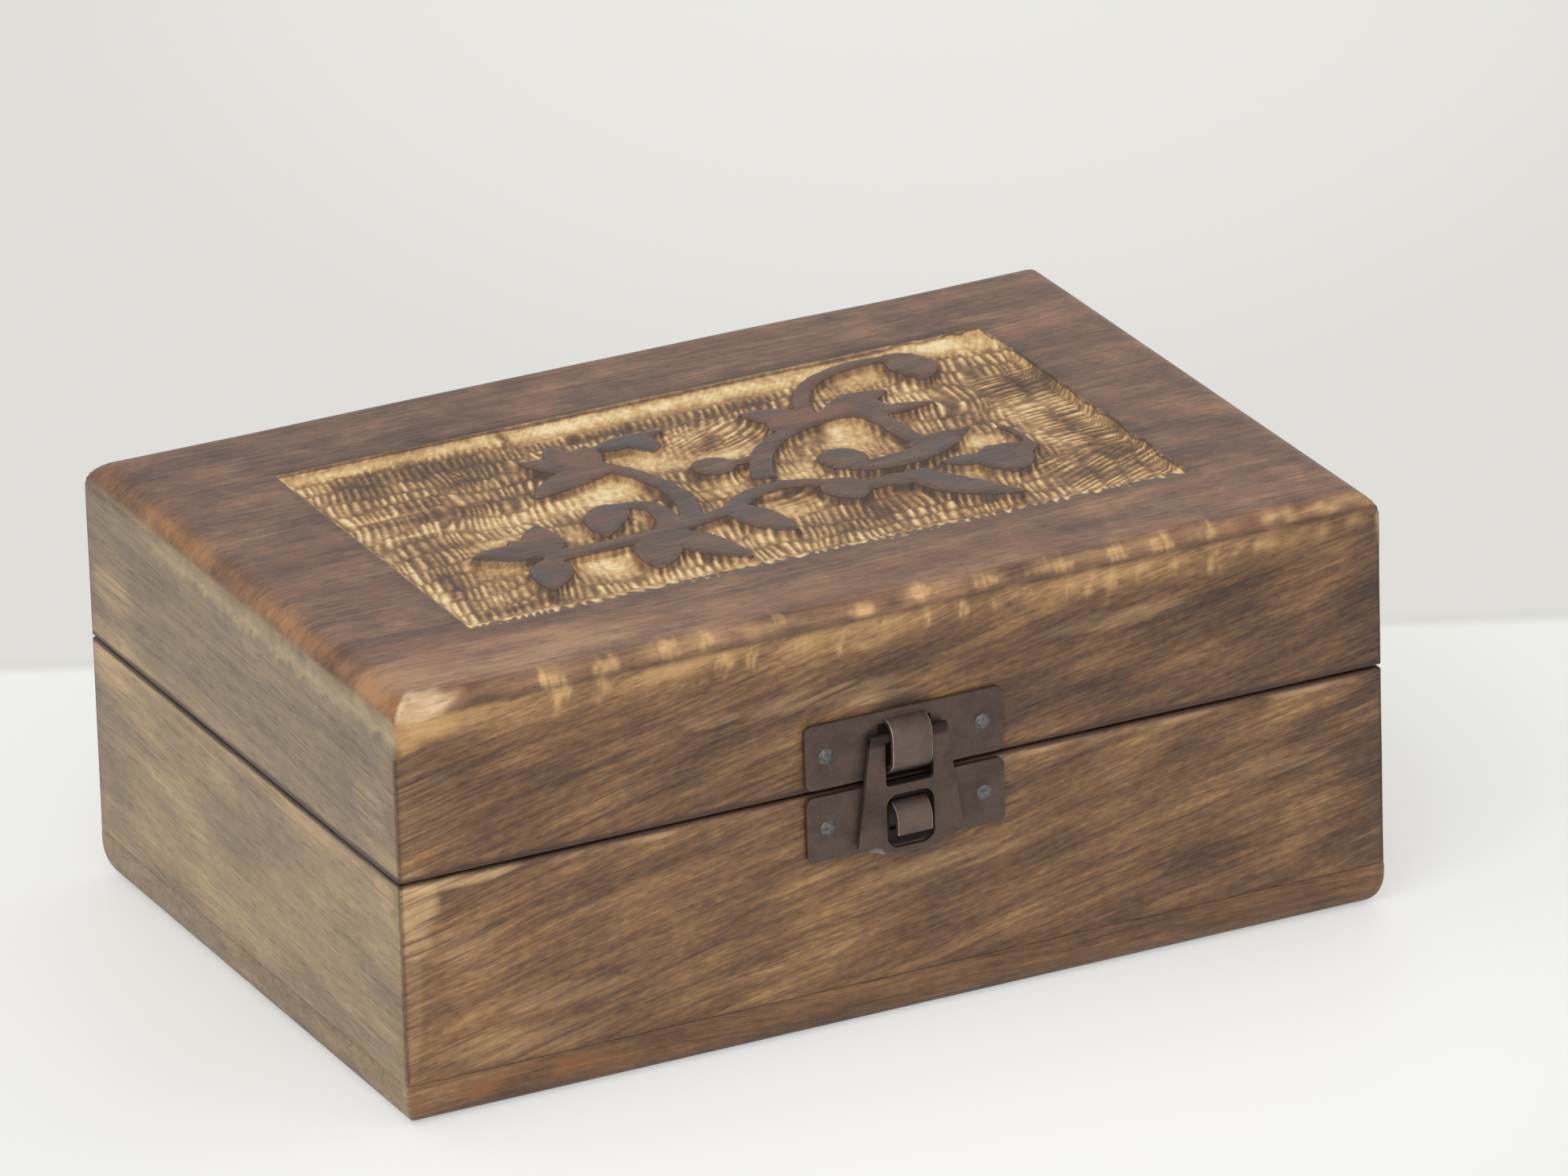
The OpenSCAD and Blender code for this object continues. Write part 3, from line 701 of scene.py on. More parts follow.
x_lines = lines_across(half_x, end_round, left_x, right_x)
y_lines = lines_across(half_y, side_round, front_y, back_y)
bm = bmesh.new()
bmesh.ops.create_grid(bm, x_segments=len(x_lines) - 1, y_segments=len(y_lines) - 1, size=0.5)
for v in bm.verts:
    v.co.x = x_lines[round((v.co.x + 0.5) * (len(x_lines) - 1))]
    v.co.y = y_lines[round((v.co.y + 0.5) * (len(y_lines) - 1))]
    v.co.z = top_z
flat = np.array([v.co for v in bm.verts])
x, y = flat[:, 0], flat[:, 1]

# How far each point is from the vine's outline: below 0 on the vine
gap = np.full(len(x), 9.0)
in_panel = (x > left_x - 1) & (x < right_x + 1) & (y > front_y - 1) & (y < back_y + 1)
for i in np.nonzero(in_panel)[0]:
    nearest = vine_tree.find_nearest(Vector((x[i], y[i], (top_z + ground_z) / 2)))[3]
    hit = board_tree.ray_cast(Vector((x[i], y[i], top_z + 1)), Vector((0, 0, -1)))[0]
    on_top = hit is not None and hit.z > top_z - 0.2
    gap[i] = -nearest if on_top else nearest
gap += sway(x, y, 1.6, 91) * 0.22

# Places on the cut ground are given as they line up with the top of the board from the camera's side
leaning_x = -camera_back.x / camera_back.z * cut_depth
leaning_y = -camera_back.y / camera_back.z * cut_depth
comb = gouge_rows(x - 0.25 * y, y - front_y + 0.6, 1.75, 6.4, 1)
front_slope = np.clip((y - front_y - 0.2 + 1.5 * (comb - 0.45)) / 4.6, 0, 1)
back_reach = np.where(x > -19.5, 3.4, 1.7)
torn = ease(x, 41, 43) * (drift(x, y * 0, 1.6, 55) * 1.6 - 0.3)
back_slope = np.clip((back_y + torn - y) / back_reach, 0, 1)
left_slope = np.clip((x - left_x + 0.5 * sway(x, y, 2.0, 31)) / 1.6, 0, 1)
right_slope = np.clip((right_x - x + 2.2 * (drift(x, y, 2.6, 41) - 0.45)) / 1.3, 0, 1)
sinking = np.minimum(np.minimum(front_slope, back_slope), np.minimum(left_slope, right_slope))
sinking = np.where(in_panel, sinking, 0)
sx, sy = x - leaning_x * sinking, y - leaning_y * sinking

scoops = (
    (-15, 3.5, 4.6, 3.6, 0.75), (-19.5, 1.5, 4.5, 2.4, 0.4), (-8, 12, 3.6, 4.6, 0.6),
    (-4.5, 8, 3.0, 3.0, 0.5), (4.5, 7.6, 4.5, 1.8, 0.65), (22, 4, 3.0, 6.0, 0.7),
    (18, 6.5, 3.6, 3.5, 0.4), (11.5, -1, 2.8, 3.6, 0.4), (33, 23.3, 3.4, 3.0, 0.7),
    (28.5, 21, 3.8, 2.6, 0.35), (-28.5, -21, 3.8, 4.2, 0.7), (-42, -14, 2.8, 3.6, 0.6),
    (36.5, -6.5, 3.6, 2.2, 0.7), (2, -15.5, 2.6, 2.6, 0.45), (-2, -3.5, 2.6, 2.6, 0.35),
    (8, -5, 2.6, 1.8, 0.4), (-27.5, -8.5, 2.2, 3.4, 0.5), (-17.2, -8, 1.1, 2.8, 0.45),
    (-39, -5.5, 4.0, 1.4, 0.4), (-11, -15.5, 2.4, 2.4, 0.5), (30, -16, 2.2, 3.8, 0.45),
    (-45, -19, 3.2, 4.5, 0.15),
)
rubbed = (
    (-31, 0.5, 11, 2.8, 0.38), (-22, 3.5, 6, 1.6, 0.25), (-6, -22, 5, 4.0, 0.28),
    (34, -21, 2.6, 2.6, 0.25), (6, 15, 6, 4.5, 0.22), (36, 14.5, 4, 4.5, 0.25), (32, 4, 1.8, 4.0, 0.25),
    (47, 29, 6, 2.6, 0.5), (52, 26, 3.0, 4.0, 0.25), (56, 23, 1.3, 5.0, 0.35), (46, -2, 2.0, 8.0, 0.28),
    (54.5, -7, 1.8, 5.0, 0.3), (50, 1.5, 5, 2.4, 0.2), (-46, 28.8, 9, 1.3, 0.32),
    (-31, 29.3, 9, 1.5, 0.25), (8, 28.3, 30, 2.3, 0.36), (-12, 28.3, 12, 2.3, 0.2),
    (-53.7, -22, 1.3, 12, 0.45), (-53.7, 12, 1.1, 20, 0.18), (-20, -30.0, 14, 1.8, 0.32),
    (-46, -31, 9, 1.2, 0.38), (12, -29.5, 14, 2.0, 0.1), (42, -29.5, 8, 1.5, 0.15),
    (-25, -27, 8, 1.4, 0.2), (-47, 10.6, 8, 0.5, 0.35), (-48, 2.9, 6, 0.5, 0.35),
    (46, -12, 1.6, 5.0, 0.22), (-49, 4.8, 6, 1.6, 0.15), (-52, 22, 2.2, 7, 0.15),
    (-42, 21, 1.6, 2.4, 0.35), (20, -8.5, 5, 1.2, 0.3), (-48, -22, 3.5, 4, 0.12),
)
stained = (
    (-37, 23.8, 10, 2.8, -0.42), (-31, 17.5, 7, 3.4, -0.3), (-46.5, 20, 4.5, 4.5, -0.22),
    (-44, 7.8, 8, 1.0, -0.35), (-35, 7.2, 7, 2.2, -0.25), (-40.5, 13.0, 3.5, 1.6, -0.25),
    (-50, -16, 1.2, 3.8, -0.4), (-46, -28, 5.5, 0.9, -0.5), (50, 10.5, 4.6, 2.8, -0.45),
    (48, -15.5, 6, 2.6, -0.15), (19, -22, 15, 2.8, -0.26), (46, -26, 7, 2.8, -0.18),
    (14, 22.5, 12, 1.4, -0.22), (-10, 22.7, 10, 1.1, -0.28), (38, 2, 3.5, 4.5, -0.18),
    (48, -9, 1.8, 1.4, -0.25), (50, -18.5, 4.5, 1.8, -0.2), (-50, -5, 5, 3.5, -0.14),
    (7, -26, 1.8, 1.8, -0.25), (-27, -27, 1.2, 1.2, -0.35), (-21.2, 29, 0.6, 2.2, -0.55),
    (4.2, 14.5, 0.9, 2.0, -0.6), (3.0, 12.0, 0.9, 1.8, -0.6), (-35, -12.8, 2.5, 1.8, -0.4),
    (18.5, 8.0, 0.7, 2.4, -0.45), (17.2, 5.4, 0.6, 1.6, -0.4), (-41, -27.8, 1.2, 1.2, -0.4),
    (-48, -12.5, 3, 1.6, -0.15),
)
smooth = np.clip(patches(sx, sy, scoops) * 1.5, 0, 1)
band = ease(sy, 24.2, 25.6) * ease(sx, -22.5, -20.5)
band = np.maximum(band, ease(sy, 27.0, 28.2))
level = gouge_rows(sy - 0.09 * sx, sx, 1.3, 4.6, 4)
fan = gouge_rows(sy - 0.5 * sx, sx, 1.3, 4.8, 8)
short = gouge_rows(sx - 0.22 * sy, sy, 1.25, 4.4, 1)
tight = gouge_rows(sx - 0.22 * sy, sy, 1.1, 5.0, 12)
level_share = ease(sx, 43.0, 46.0) * ease(sy, -20, -15) * (1 - ease(sy, 13, 17))
level_marks = ((4, -12, 4, 3.5, 1.2), (20, -16.5, 5, 1.6, 1.0))
level_share = np.maximum(level_share, np.clip(patches(sx, sy, level_marks), 0, 1))
fan_share = ease(sx, 36, 42) * (1 - ease(sy, -20, -15))
fan_share = np.maximum(fan_share, np.clip(patches(sx, sy, ((6, 13, 7, 5, 1.5),)), 0, 1))
tight_share = ease(sx, -38, -35) * (1 - ease(sx, -22, -20)) * ease(sy, 14, 16)
ridge = short * (1 - tight_share) + tight * tight_share
faint = gouge_rows(sx - 0.7 * sy, sy, 1.1, 6.0, 15)
front_share = 1 - ease(front_slope, 0.75, 1.0)
for over, share in (
    (level, level_share), (fan, fan_share), (0.3 + 0.35 * faint, band),
    (0.38 + 0.25 * (faint - 0.35), smooth), (comb, front_share),
):
    ridge = ridge * (1 - share) + over * share
ridge *= 0.7 + 0.6 * drift(sx, sy, 2.7, 17)
ridge_height = 0.28 * (ridge - 0.4) * (1 - 0.4 * band)
ground = top_z - sinking * (cut_depth + 0.15) + ridge_height * ease(sinking, 0.05, 0.5)
ground -= 0.2 * smooth * sinking
ground += (top_z - ground) * 0.38 * np.exp(-np.clip(gap, 0, 9) / 1.6)

outside = ease(gap, 0.0, 0.5)
drop = np.maximum(edge_drop(x, half_x, end_round), edge_drop(y, half_y, side_round))
cut_share = ease(sinking, 0.02, 0.10) * ease(gap, 0.05, 0.3)
height = top_z - drop
waviness = ease(y, half_y - 12, half_y) * 0.3 * drift(x, x * 0, 26.0, 95)
softened = 0.16 * np.exp(-(np.clip(-gap, 0, 9) / 0.45) ** 2) * in_panel
height = np.where(in_panel, top_z - softened + (ground - top_z + softened) * outside, height)
height = np.minimum(height - waviness, top_z)

pale = 0.52 + 0.30 * smooth + patches(sx, sy, rubbed) * 0.9 + patches(sx, sy, stained) * 0.75
left_wall = 1 - ease(left_slope, 0.6, 1.0)
contrast = 0.78 * (1 - 0.5 * smooth) * (1 - 0.4 * band) * (1 - 0.5 * left_wall)
pale += (ridge - 0.34) * contrast + 0.16 * left_wall
pale += sway(sx, sy, 0.9, 61) * 0.20 + sway(sx, sy, 4.0, 62) * 0.22
pale += sway(sx * 1.6, sy * 0.5, 1.1, 63) * 0.18
# Painted shade: the cut just outside the vine's outline is darker, where its walls cast shade.
pale -= 0.30 * np.exp(-((gap - 0.2) / 0.42) ** 2)
pale += 0.10 * front_share + 0.35 * (comb - 0.4) * front_share * (1 - ease(front_slope, 0.2, 0.6))
# Painted shade on the panel's front lip.
pale -= 0.35 * (1 - ease(front_slope, 0.02, 0.14)) * (x > left_x + 1)
stain_left = np.clip(-patches(sx, sy, stained) * 2, 0, 1)
pale = pale * (1 - 0.35 * stain_left) + 0.30 * 0.35 * stain_left

# Partly scorched stain and partly painted shade: a dark rim on the vine's edge and a dark line along the
# panel's back edge.
burnt = 0.30 * ease(-gap, -0.1, 0.3) * in_panel
back_scorch_and_shade = 0.75 * np.exp(-((y - back_y - 0.5 - torn) / 0.5) ** 2)
back_scorch_and_shade = back_scorch_and_shade * ease(x, left_x - 1, left_x) * (1 - ease(x, right_x, right_x + 1))
burnt = np.maximum(burnt, back_scorch_and_shade)
burnt = np.where(in_panel & (gap < 8.5), burnt, np.minimum(burnt, 0.8))

# The rounded edges were rasped and rubbed: pale chips along the front, an amber band at the ends
front_chips = (
    (-72.6, 61.9, 5.0, 1.3, 1.3), (-65, 62.2, 2.4, 0.7, 0.4), (-52, 61.6, 1.6, 1.1, 1.0),
    (-43.5, 61.8, 1.8, 1.1, 0.9), (-34, 62.2, 2.0, 1.1, 0.9), (-28, 62.3, 1.4, 1.0, 0.8),
    (-17, 62.4, 1.2, 0.8, 0.5), (-4, 61.9, 2.0, 1.0, 0.9), (5, 62.2, 2.4, 0.9, 1.0),
    (15, 62.0, 1.8, 0.9, 0.9), (25, 61.9, 4.2, 1.0, 0.8), (35, 62.1, 2.0, 0.9, 0.7),
    (42, 61.8, 1.8, 1.0, 0.8), (49, 62.0, 2.0, 0.9, 0.8), (61, 61.9, 3.2, 1.0, 0.8),
    (68, 61.9, 2.6, 1.0, 0.8), (-74.2, 57.9, 2.2, 2.6, 0.9), (-69.5, 58.7, 4.6, 1.7, 0.65),
    (-62, 58.9, 3.4, 1.1, 0.45), (-50.8, 59.0, 1.6, 1.7, 0.85), (-44.5, 58.7, 1.2, 1.9, 0.75),
    (-38, 58.9, 1.0, 1.4, 0.6), (-33, 59.3, 3.2, 1.0, 0.6), (-26, 59.0, 1.8, 1.5, 0.75),
    (-21.5, 58.8, 0.9, 1.7, 0.65), (-14, 59.0, 3.2, 1.2, 0.6), (-8, 58.6, 1.0, 1.6, 0.6),
    (-1, 59.3, 2.6, 1.0, 0.55), (5.5, 58.8, 1.0, 1.6, 0.6), (11, 58.8, 1.4, 1.5, 0.7),
    (16, 58.5, 0.9, 1.5, 0.5), (20, 59.2, 2.8, 0.9, 0.5), (27, 58.8, 1.2, 1.6, 0.6),
    (30.5, 58.5, 1.0, 1.9, 0.7), (33.8, 58.2, 1.0, 2.1, 0.75), (38.5, 58.8, 1.2, 1.4, 0.55),
    (44, 58.6, 1.8, 1.5, 0.6), (50, 58.3, 1.3, 1.9, 0.7), (53.5, 58.8, 0.9, 1.4, 0.5),
    (58, 58.8, 1.8, 1.4, 0.6), (63, 58.5, 1.0, 1.6, 0.55), (67, 58.6, 1.6, 1.6, 0.6),
    (72, 59.2, 1.4, 1.1, 0.5), (-58, 57.0, 9.0, 0.7, 0.35), (-30, 56.8, 8.0, 0.6, 0.3),
    (-5, 57.0, 9.0, 0.6, 0.3), (22, 56.8, 8.0, 0.6, 0.3), (48, 56.6, 8.0, 0.6, 0.25),
)


def edge_wear(x, y, z):
    """How far the stain is rubbed off near the board's edges."""
    fray = drift(x + y, z * 2, 1.3, 71)
    streaky = drift(x * 2.2, z * 0.6, 1.0, 75)
    torn_x = x * 0.9 + sway(x, z, 1.6, 90) * 1.4
    torn_z = z + sway(x, z, 1.2, 91) * 0.7
    front_marks = patches(torn_x / 0.9, torn_z, front_chips)
    front_marks *= ease(-y, half_y - side_round - 0.6, half_y - side_round + 0.4)
    broken = 0.35 + 0.75 * streaky + 0.45 * sway(x * 1.4, z * 3.2, 1.0, 78)
    front_marks = ease(front_marks * np.where(x < -66, 0.9, broken), 0.08, 0.6)
    arris = top_z - z
    end_share = ease(np.abs(x), half_x - end_round - 0.3, half_x - 1.4)
    end_band = end_share * ease(z, top_z - 2.8, top_z - 2.0) * (0.5 + 0.5 * drift(y, x * 0, 9.0, 73))
    end_band *= 1 - 0.8 * ease(z, top_z - 0.9, top_z - 0.2)
    end_band *= 1 - 0.45 * ease(y, 20, 44)
    lip = ease(arris, 0.0, 0.5) * (1 - ease(arris, 0.9, 2.0))
    lip *= ease(-y, half_y - side_round - 0.3, half_y - 1.5)
    lip = lip * np.clip(drift(x, z * 0, 4.0, 77) * 1.5 - 0.35, 0, 1)
    ragged = sway(x + y, z * 0, 2.6, 79) * 1.4 + sway(x + y, z * 3, 1.2, 80) * 0.9
    ragged += sway(y + 0.7 * z, x * 0, 1.1, 82) * 1.6
    scuffs = ease(z + ragged, 56.4, 57.4) * (1 - ease(z + 0.2 * ragged, 59.6, 60.2)) * ease(-y, -34, -22)
    scuffs = scuffs * (np.abs(x) > half_x - 0.9) * (0.35 + 0.6 * drift(x + y, z * 2, 2.0, 81))
    worn = np.maximum(np.maximum(front_marks, end_band), np.maximum(0.55 * lip, scuffs))
    return np.clip(worn * (0.62 + 0.5 * fray), 0, 1)


def edge_soot(x, y, z):
    """The dark line under the rounding, where stain gathered."""
    on_front = np.abs(y) > half_y - 1.0
    wave = sway(x + 0.7 * y, x * 0, 6.0, 83) * 0.7
    foot = np.where(on_front, top_z - 2.4, top_z - 2.9) + wave * 0.7
    at_side = np.maximum(np.abs(x) - half_x, np.abs(y) - half_y) > -1.2
    line = np.exp(-((z - foot) / 0.4) ** 2) * at_side
    strength = np.clip(drift(x + y, x * 0, 4.0, 87) * 1.3 - 0.1 + 0.24 * on_front, 0, 0.8)
    front_ends = ease(x, -69, -66) + 0.9 * ease(-x, half_x - 0.7, half_x - 0.3)
    strength = strength * np.where(on_front, front_ends, 1)
    at_back = (np.abs(x) > half_x - 2) * ease(y, 30, 40) * ease(z, 57.6, 59.0) * (1 - ease(z, 60.5, 61.5))
    return np.maximum(line * strength, 0.4 * at_back * drift(y, z, 3.0, 93))


worn = edge_wear(x, y, height)
chipped = np.clip(worn * (drop > 0.25) * (1 - ease(np.abs(x), half_x - end_round, half_x)), 0, 1)
y_pushed = y + np.sign(-y) * 0.15 * chipped * (np.abs(y) > half_y - side_round) * (np.abs(y) < half_y - 0.01)
height = height - 0.10 * chipped
over_x, over_y = np.abs(x) - (half_x - corner_round), np.abs(y_pushed) - (half_y - corner_round)
at_corner = (over_x > 0) & (over_y > 0)
draw_in = np.where(at_corner, np.maximum(over_x, over_y) / np.maximum(np.hypot(over_x, over_y), 1e-9), 1)
x_new = np.where(at_corner, np.sign(x) * (half_x - corner_round + over_x * draw_in), x)
y_new = np.where(at_corner, np.sign(y) * (half_y - corner_round + over_y * draw_in), y_pushed)

layers = {
    "cut": cut_share, "pale": np.clip(pale, 0, 1), "worn": worn,
    "burnt": np.clip(np.maximum(burnt, edge_soot(x, y, height)), 0, 1),
}
stores = {name: bm.verts.layers.float.new(name) for name in layers}
for i, v in enumerate(bm.verts):
    v.co = (x_new[i], y_new[i], height[i])
    for name, store in stores.items():
        v[store] = layers[name][i]

# The sides go down from the rounded edge to the glue line, then the underside closes the board
rim = [e for e in bm.edges if e.is_boundary]
above = {v: v.co.copy() for e in rim for v in e.verts}
for step in (0.03, 0.08, 0.15, 0.24, 0.34, 0.45, 0.56, 0.67, 0.78, 0.89, 1.0):
    grown = bmesh.ops.extrude_edge_only(bm, edges=rim)["geom"]
    rim = [e for e in grown if isinstance(e, bmesh.types.BMEdge) and e.is_boundary]
    ring = {}
    for v in {v for e in rim for v in e.verts}:
        ring[v] = next(above[e.other_vert(v)] for e in v.link_edges if e.other_vert(v) in above)
        v.co = ring[v]
        v.co.z += (top_joint_z - v.co.z) * step
    above = ring
    at = np.array([v.co for v in ring])
    side_worn = edge_wear(at[:, 0], at[:, 1], at[:, 2])
    side_burnt = edge_soot(at[:, 0], at[:, 1], at[:, 2])
    hollow = 0.12 * side_worn + 0.14 * side_burnt + 0.04 * drift(at[:, 0] + at[:, 1], at[:, 2], 2.4, 89)
    hollow *= np.clip((at[:, 2] - top_joint_z) / 2.0, 0, 1)
    for i, v in enumerate(ring):
        v[stores["cut"]] = 0
        v[stores["pale"]] = 0
        v[stores["worn"]] = side_worn[i]
        v[stores["burnt"]] = side_burnt[i]
        if abs(v.co.y) > half_y - 0.01:
            v.co.y -= math.copysign(hollow[i], v.co.y)
        elif abs(v.co.x) > half_x - 0.01:
            v.co.x -= math.copysign(hollow[i], v.co.x)
under = bmesh.ops.contextual_create(bm, geom=rim)["faces"]
for f in under:
    for v in f.verts:
        v[stores["worn"]] = 0

top_stains = (
    (0.0, paint(50, 33, 26)), (0.3, paint(80, 56, 44)), (0.5, paint(101, 73, 56)),
    (0.7, paint(124, 90, 66)), (1.0, paint(156, 118, 84)),
)
cut_tints = (
    (0.0, paint(74, 58, 48)), (0.22, paint(100, 77, 58)), (0.45, paint(138, 105, 71)),
    (0.68, paint(180, 145, 98)), (0.86, paint(206, 177, 128)), (1.0, paint(224, 203, 160)),
)


def stored(start, name):
    """What the board's points store under a name, 0 to 1."""
    settings = {"attribute_type": "GEOMETRY", "attribute_name": name}
    return start.node("Attribute", settings, {}, "Fac")


top_wood = stained_wood("carved_board_wood", "flat", math.radians(1.5), 83.0)
start, x, y, z = top_wood.start, top_wood.x, top_wood.y, top_wood.z
cut, pale_cut = stored(start, "cut"), stored(start, "pale")
below_top = (top_z - z).fade(0.16, 0.30)
over_panel = (x - left_x).fade(-0.5, 0.0) * (right_x - x).fade(-0.5, 0.0)
over_panel = over_panel * (y - front_y).fade(-0.3, 0.2) * (back_y - y).fade(-0.9, -0.4)
cut = cut.math("MAXIMUM", cut, below_top * over_panel)
rubbed_off, scorch_and_shade_share = stored(start, "worn"), stored(start, "burnt")
on_side = (top_z - z).fade(1.6, 3.2)
front_margin = spot(x, y, -58.0, -42.0, 32.0, 8.0) * 0.36 + spot(x, y, 10.0, -45.0, 84.0, 12.0) * 0.14
back_shade = y.fade(28.0, 46.0) * x.fade(20.0, -40.0) * 0.06
mottle = soft_noise(start, mm_point(start), 0.11, 4.0, 0.6)
tone = (top_wood.tone - 0.5) * 0.7 + (mottle - 0.5) * 0.85 + 0.53 + front_margin - back_shade
body = tone.ramp(*top_stains)
cool = soft_noise(start, mm_point(start), 0.07, 2.0, 0.5)
vine = (x - left_x).fade(-0.5, 0.5) * (right_x - x).fade(-0.5, 0.5)
vine = vine * (y - front_y).fade(-0.5, 0.5) * (back_y - y).fade(-0.5, 0.5)
body = (vine * 0.30).tint(body, paint(72, 67, 66))
body = (cool.fade(0.46, 0.60) * vine * 0.6).tint(body, paint(76, 75, 77))
flush = spot(x, y, 20.0, 14.5, 9.0, 3.2)
flush = flush.math("MAXIMUM", flush, spot(x, y, -15.0, 16.5, 4.0, 5.0))
body = (flush * vine * 0.7).tint(body, paint(132, 86, 62))
red = streaks(start, top_wood.u, top_wood.v, top_wood.deep, 18.0, 5.0, 7.0, 2.0).fade(0.5, 0.66)
body = (red * 0.36).tint(body, paint(122, 74, 56))
end_share = (abs(x) - abs(y)).fade(24.2, 25.4)
front_side = grain(start, "x", front_tilt, front_seed)
end_side = grain(start, "y", end_tilt, end_seed)
lighter_up = z.fade(54.0, 60.0)
front_body = (front_tone(front_side) + lighter_up * 0.34).ramp(*front_stains)
side_body = end_share.tint(front_body, end_tone(end_side).ramp(*end_stains))
body = on_side.tint(body, side_body)
body = (top_wood.pores * 0.25).tint(body, dark_stain_and_shade)
amber = tone.ramp((0.2, paint(114, 73, 40)), (0.8, paint(166, 118, 70)))
golden = tone.ramp((0.2, paint(150, 112, 68)), (0.8, paint(208, 168, 114)))
corner_patch = spot(x, z, -72.0, 61.9, 7.0, 2.2)
straw = corner_patch.tint(golden, tone.ramp((0.2, paint(186, 148, 106)), (0.8, paint(238, 212, 170))))
tan_scuff = paint(172, 152, 116)
end_rub = (top_z - z).fade(2.3, 3.1).tint(amber, tan_scuff)
body = (rubbed_off * 0.9).tint(body, end_share.tint(straw, end_rub))
speck = streaks(start, x, y, z, 0.9, 0.7, 3.0, 2.0)
# Painted shade on the cut just under the top, round the panel's lip and the vine's edges.
painted_lip_shade = over_panel * (top_z - z).fade(0.12, 0.22) * (top_z - z).fade(0.50, 0.28)
cut_tone = pale_cut + (speck - 0.5) * 0.35 + (top_wood.fibre - 0.5) * 0.2 - painted_lip_shade * 0.35
body = cut.tint(body, cut_tone.ramp(*cut_tints))
body = (scorch_and_shade_share * (0.75 + 0.5 * (speck - 0.5))).tint(body, dark_stain_and_shade)
inner = (half_x - stained_rim - abs(x)).fade(0.0, 0.4) * (half_y - stained_rim - abs(y)).fade(0.0, 0.4)
inner = inner * (top_joint_z + 0.3 - z).fade(0.0, 0.2)
body = inner.tint(body, (top_wood.tone * 0.8 + 0.1).ramp(*raw_ramp))
rough = 0.47 - top_wood.fine * 0.1 + cut * 0.25 + rubbed_off * 0.12
top_wood.fibre = top_wood.fibre + cut * (speck - 0.5) * 2.5
finish_wood(top_wood, body, rough)

settle(bm)
top_board = link_piece("carved_top_board", bm, [top_wood.material])
smooth_below(top_board, 50)
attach(top_board, "lid")
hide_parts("top_board")


# ---- Clasp: the two plates, the hook and the bridge ----
# Bronzed steel sheet pressed and bent in one stroke: a bridge on the lid's plate, a hook on the base's.
# The finish is dull brown lacquer, rubbed brighter where the hasp touches it, with worn edges that also carry
# a painted highlight, a painted glint on the hasp's lip and painted shade in the recess behind the hasp.
def bronzed_finish(name, worn_out, seed, edge_wear_and_highlight, recess_shade_strength, shade_above=200.0):
    """Dark brown bronzing on steel, brighter where the piece stands out past a distance, with painted
    highlights on its edges, a painted glint at the hasp's lip, and painted shade in the clasp's recess and
    above a height.
    """
    material, start, skin = new_finish(name)
    x, y, z = place_in_mm(start)
    grain = streaks(start, x, z, y, 0.5, 0.4, seed, 3.0)
    cloud = streaks(start, x, z, y, 5.0, 4.0, seed + 4, 3.0)
    rub = (abs(y) - worn_out).fade(0.0, 0.9) * (cloud * 0.3)
    worn_and_highlit_edge = edge_wear_and_highlight * (cloud * 0.8 + grain * 0.5).fade(0.40, 0.70) * (abs(y) - worn_out).fade(-1.6, -0.4)
    # Painted glint on the hasp's lower lip.
    painted_lip_glint = spot(x, z, hasp_low.x / MM + 2.4, hasp_low.z / MM + 0.6, 1.7, 1.1)
    painted_lip_glint = painted_lip_glint * (abs(y) - worn_out).fade(-0.4, 0.4) * grain.fade(0.25, 0.6)
    body = (cloud * 0.7 + grain * 0.3).ramp(
        (0.25, paint(66, 53, 47)), (0.5, paint(90, 75, 67)), (0.75, paint(110, 93, 84)),
    )
    # Painted shade: the plate behind the hasp and the hasp's rolled bar are darkened near black.
    painted_recess_shade = spot(x, z, clasp_x, seam_z - 3.0, 5.8, 14.0) * (abs(y) - worn_out).fade(-0.9, -1.3) * recess_shade_strength
    painted_recess_shade = painted_recess_shade.math("MAXIMUM", painted_recess_shade, z.fade(shade_above, shade_above + 0.8) * 0.8)
    rust = cloud.fade(0.56, 0.68) * 0.35
    body = rust.tint(body, paint(90, 54, 44))
    body = painted_recess_shade.tint(body, paint(30, 24, 22))
    body = (rub * (1 - painted_recess_shade)).tint(body, paint(156, 138, 124))
    body = worn_and_highlit_edge.tint(body, paint(204, 184, 166))
    body = (painted_lip_glint * 0.42).tint(body, paint(206, 200, 196))
    body.into(skin, "Base Color")
    rough = 0.48 + grain * 0.14 - rub * 0.16 - worn_and_highlit_edge * 0.1
    rough.into(skin, "Roughness")
    skin.inputs["Metallic"].default_value = 0.7
    bump = start.node("Bump", {}, {"Height": grain + cloud, "Distance": 0.00003, "Strength": 1.0})
    bump.into(skin, "Normal")
    return material


def edged_copy(name, node, edge, materials):
    """A copy of a pressed piece with its cut edges rounded off and rubbed, as tumbling leaves them; the
    rounded edges take the second material, whose pale tint is partly wear and partly painted highlight.
    """
    bm = bmesh.new()
    bm.from_mesh(nodes[node].data)
    bmesh.ops.remove_doubles(bm, verts=bm.verts, dist=2e-6)
    bmesh.ops.dissolve_limit(bm, angle_limit=math.radians(0.6), verts=bm.verts, edges=bm.edges)
    for f in bm.faces:
        f.material_index = 0
    sharp = [e for e in bm.edges if e.is_manifold and e.calc_face_angle(0) > math.radians(38)]
    for f in round_over(bm, sharp, edge * MM, 2, True)["faces"]:
        f.material_index = 1
    bmesh.ops.dissolve_degenerate(bm, dist=5e-7, edges=bm.edges)
    piece = link_piece(name, bm, materials)
    smooth_below(piece, 32)
    return piece


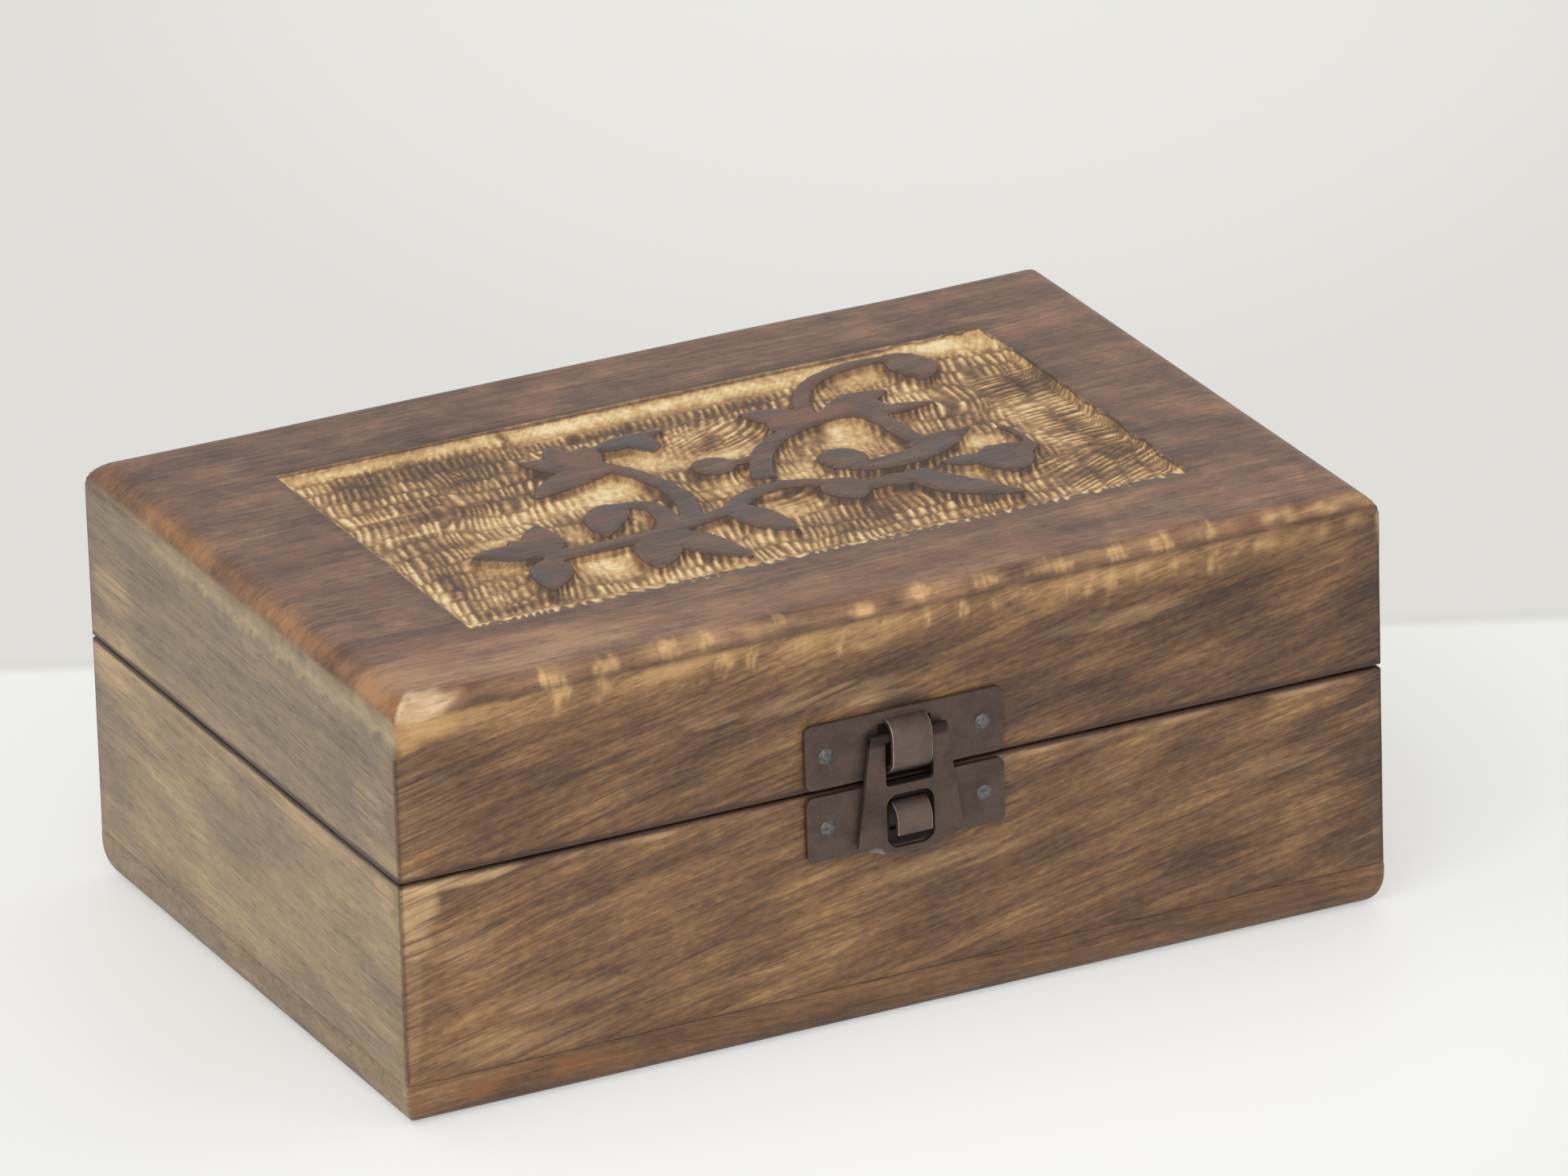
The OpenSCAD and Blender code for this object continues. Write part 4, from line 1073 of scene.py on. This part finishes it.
hasp_low, hasp_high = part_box("hasp")
clasp_x = (hasp_low.x + hasp_high.x) / 2 / MM
plate_bronze = bronzed_finish("bronzed_plate", -front + 2.4, 3.0, 0.0, 0.85)
plate_edges = bronzed_finish("bronzed_plate_edges", -front + 2.4, 3.0, 1.1, 0.85)
for name, node, body in (
    ("catch_plate_steel", "catch_plate", "base"), ("hasp_plate_steel", "hasp_plate", "lid"),
):
    piece = edged_copy(name, node, 0.12, [plate_bronze, plate_edges])
    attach(piece, body)
    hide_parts(node)

# ---- Clasp: the hasp ----
# A tapered tongue of the same sheet, its top rolled into a bar that turns in the bridge.
# Its lower lip curls outwards for a finger to lift it, and carries a painted glint.
# Above this height the hasp's rolled bar is given painted shade.
bar_z = hasp_high.z / MM - 2.0
hasp_bronze = bronzed_finish("bronzed_hasp", -front + 2.2, 9.0, 0.0, 0.5, bar_z)
hasp_edges = bronzed_finish("bronzed_hasp_edges", -front + 2.2, 9.0, 0.6, 0.5, bar_z)
hasp = edged_copy("hasp_steel", "hasp", 0.11, [hasp_bronze, hasp_edges])
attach(hasp, "hasp")
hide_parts("hasp")

# ---- Nails ----
# Small dull steel nails with domed heads, driven through the plates and the hinge leaves.
# Dirt has gathered in the pits of the heads.
nail_steel, start, skin = new_finish("nail_steel")
x, y, z = place_in_mm(start)
pits = streaks(start, x, z, y, 0.5, 0.5, 5.0, 3.0)
body = pits.ramp((0.3, paint(70, 70, 68)), (0.5, paint(98, 99, 97)), (0.75, paint(124, 126, 125)))
body.into(skin, "Base Color")
(0.45 + pits * 0.2).into(skin, "Roughness")
skin.inputs["Metallic"].default_value = 0.6
for node, body in (
    ("catch_plate_nails", "base"), ("hasp_plate_nails", "lid"),
    ("base_hinge_nails", "base"), ("lid_hinge_nails", "lid"),
):
    nodes[node].data.materials.clear()
    nodes[node].data.materials.append(nail_steel)

# ---- Hinges at the back ----
# Two small butt hinges of the same bronzed sheet, each with a pin riveted at both ends.
hinge_bronze = bronzed_finish("bronzed_hinge", -front + 2.2, 15.0, 0.0, 0.0)
hinge_edges = bronzed_finish("bronzed_hinge_edges", -front + 2.2, 15.0, 0.5, 0.0)
for side in ("left", "right"):
    for part, body in (("base_leaf", "base"), ("lid_leaf", "lid"), ("pin", "base")):
        node = f"hinge_{side}_{part}"
        piece = edged_copy(f"{node}_steel", node, 0.08, [hinge_bronze, hinge_edges])
        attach(piece, body)
        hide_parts(node)
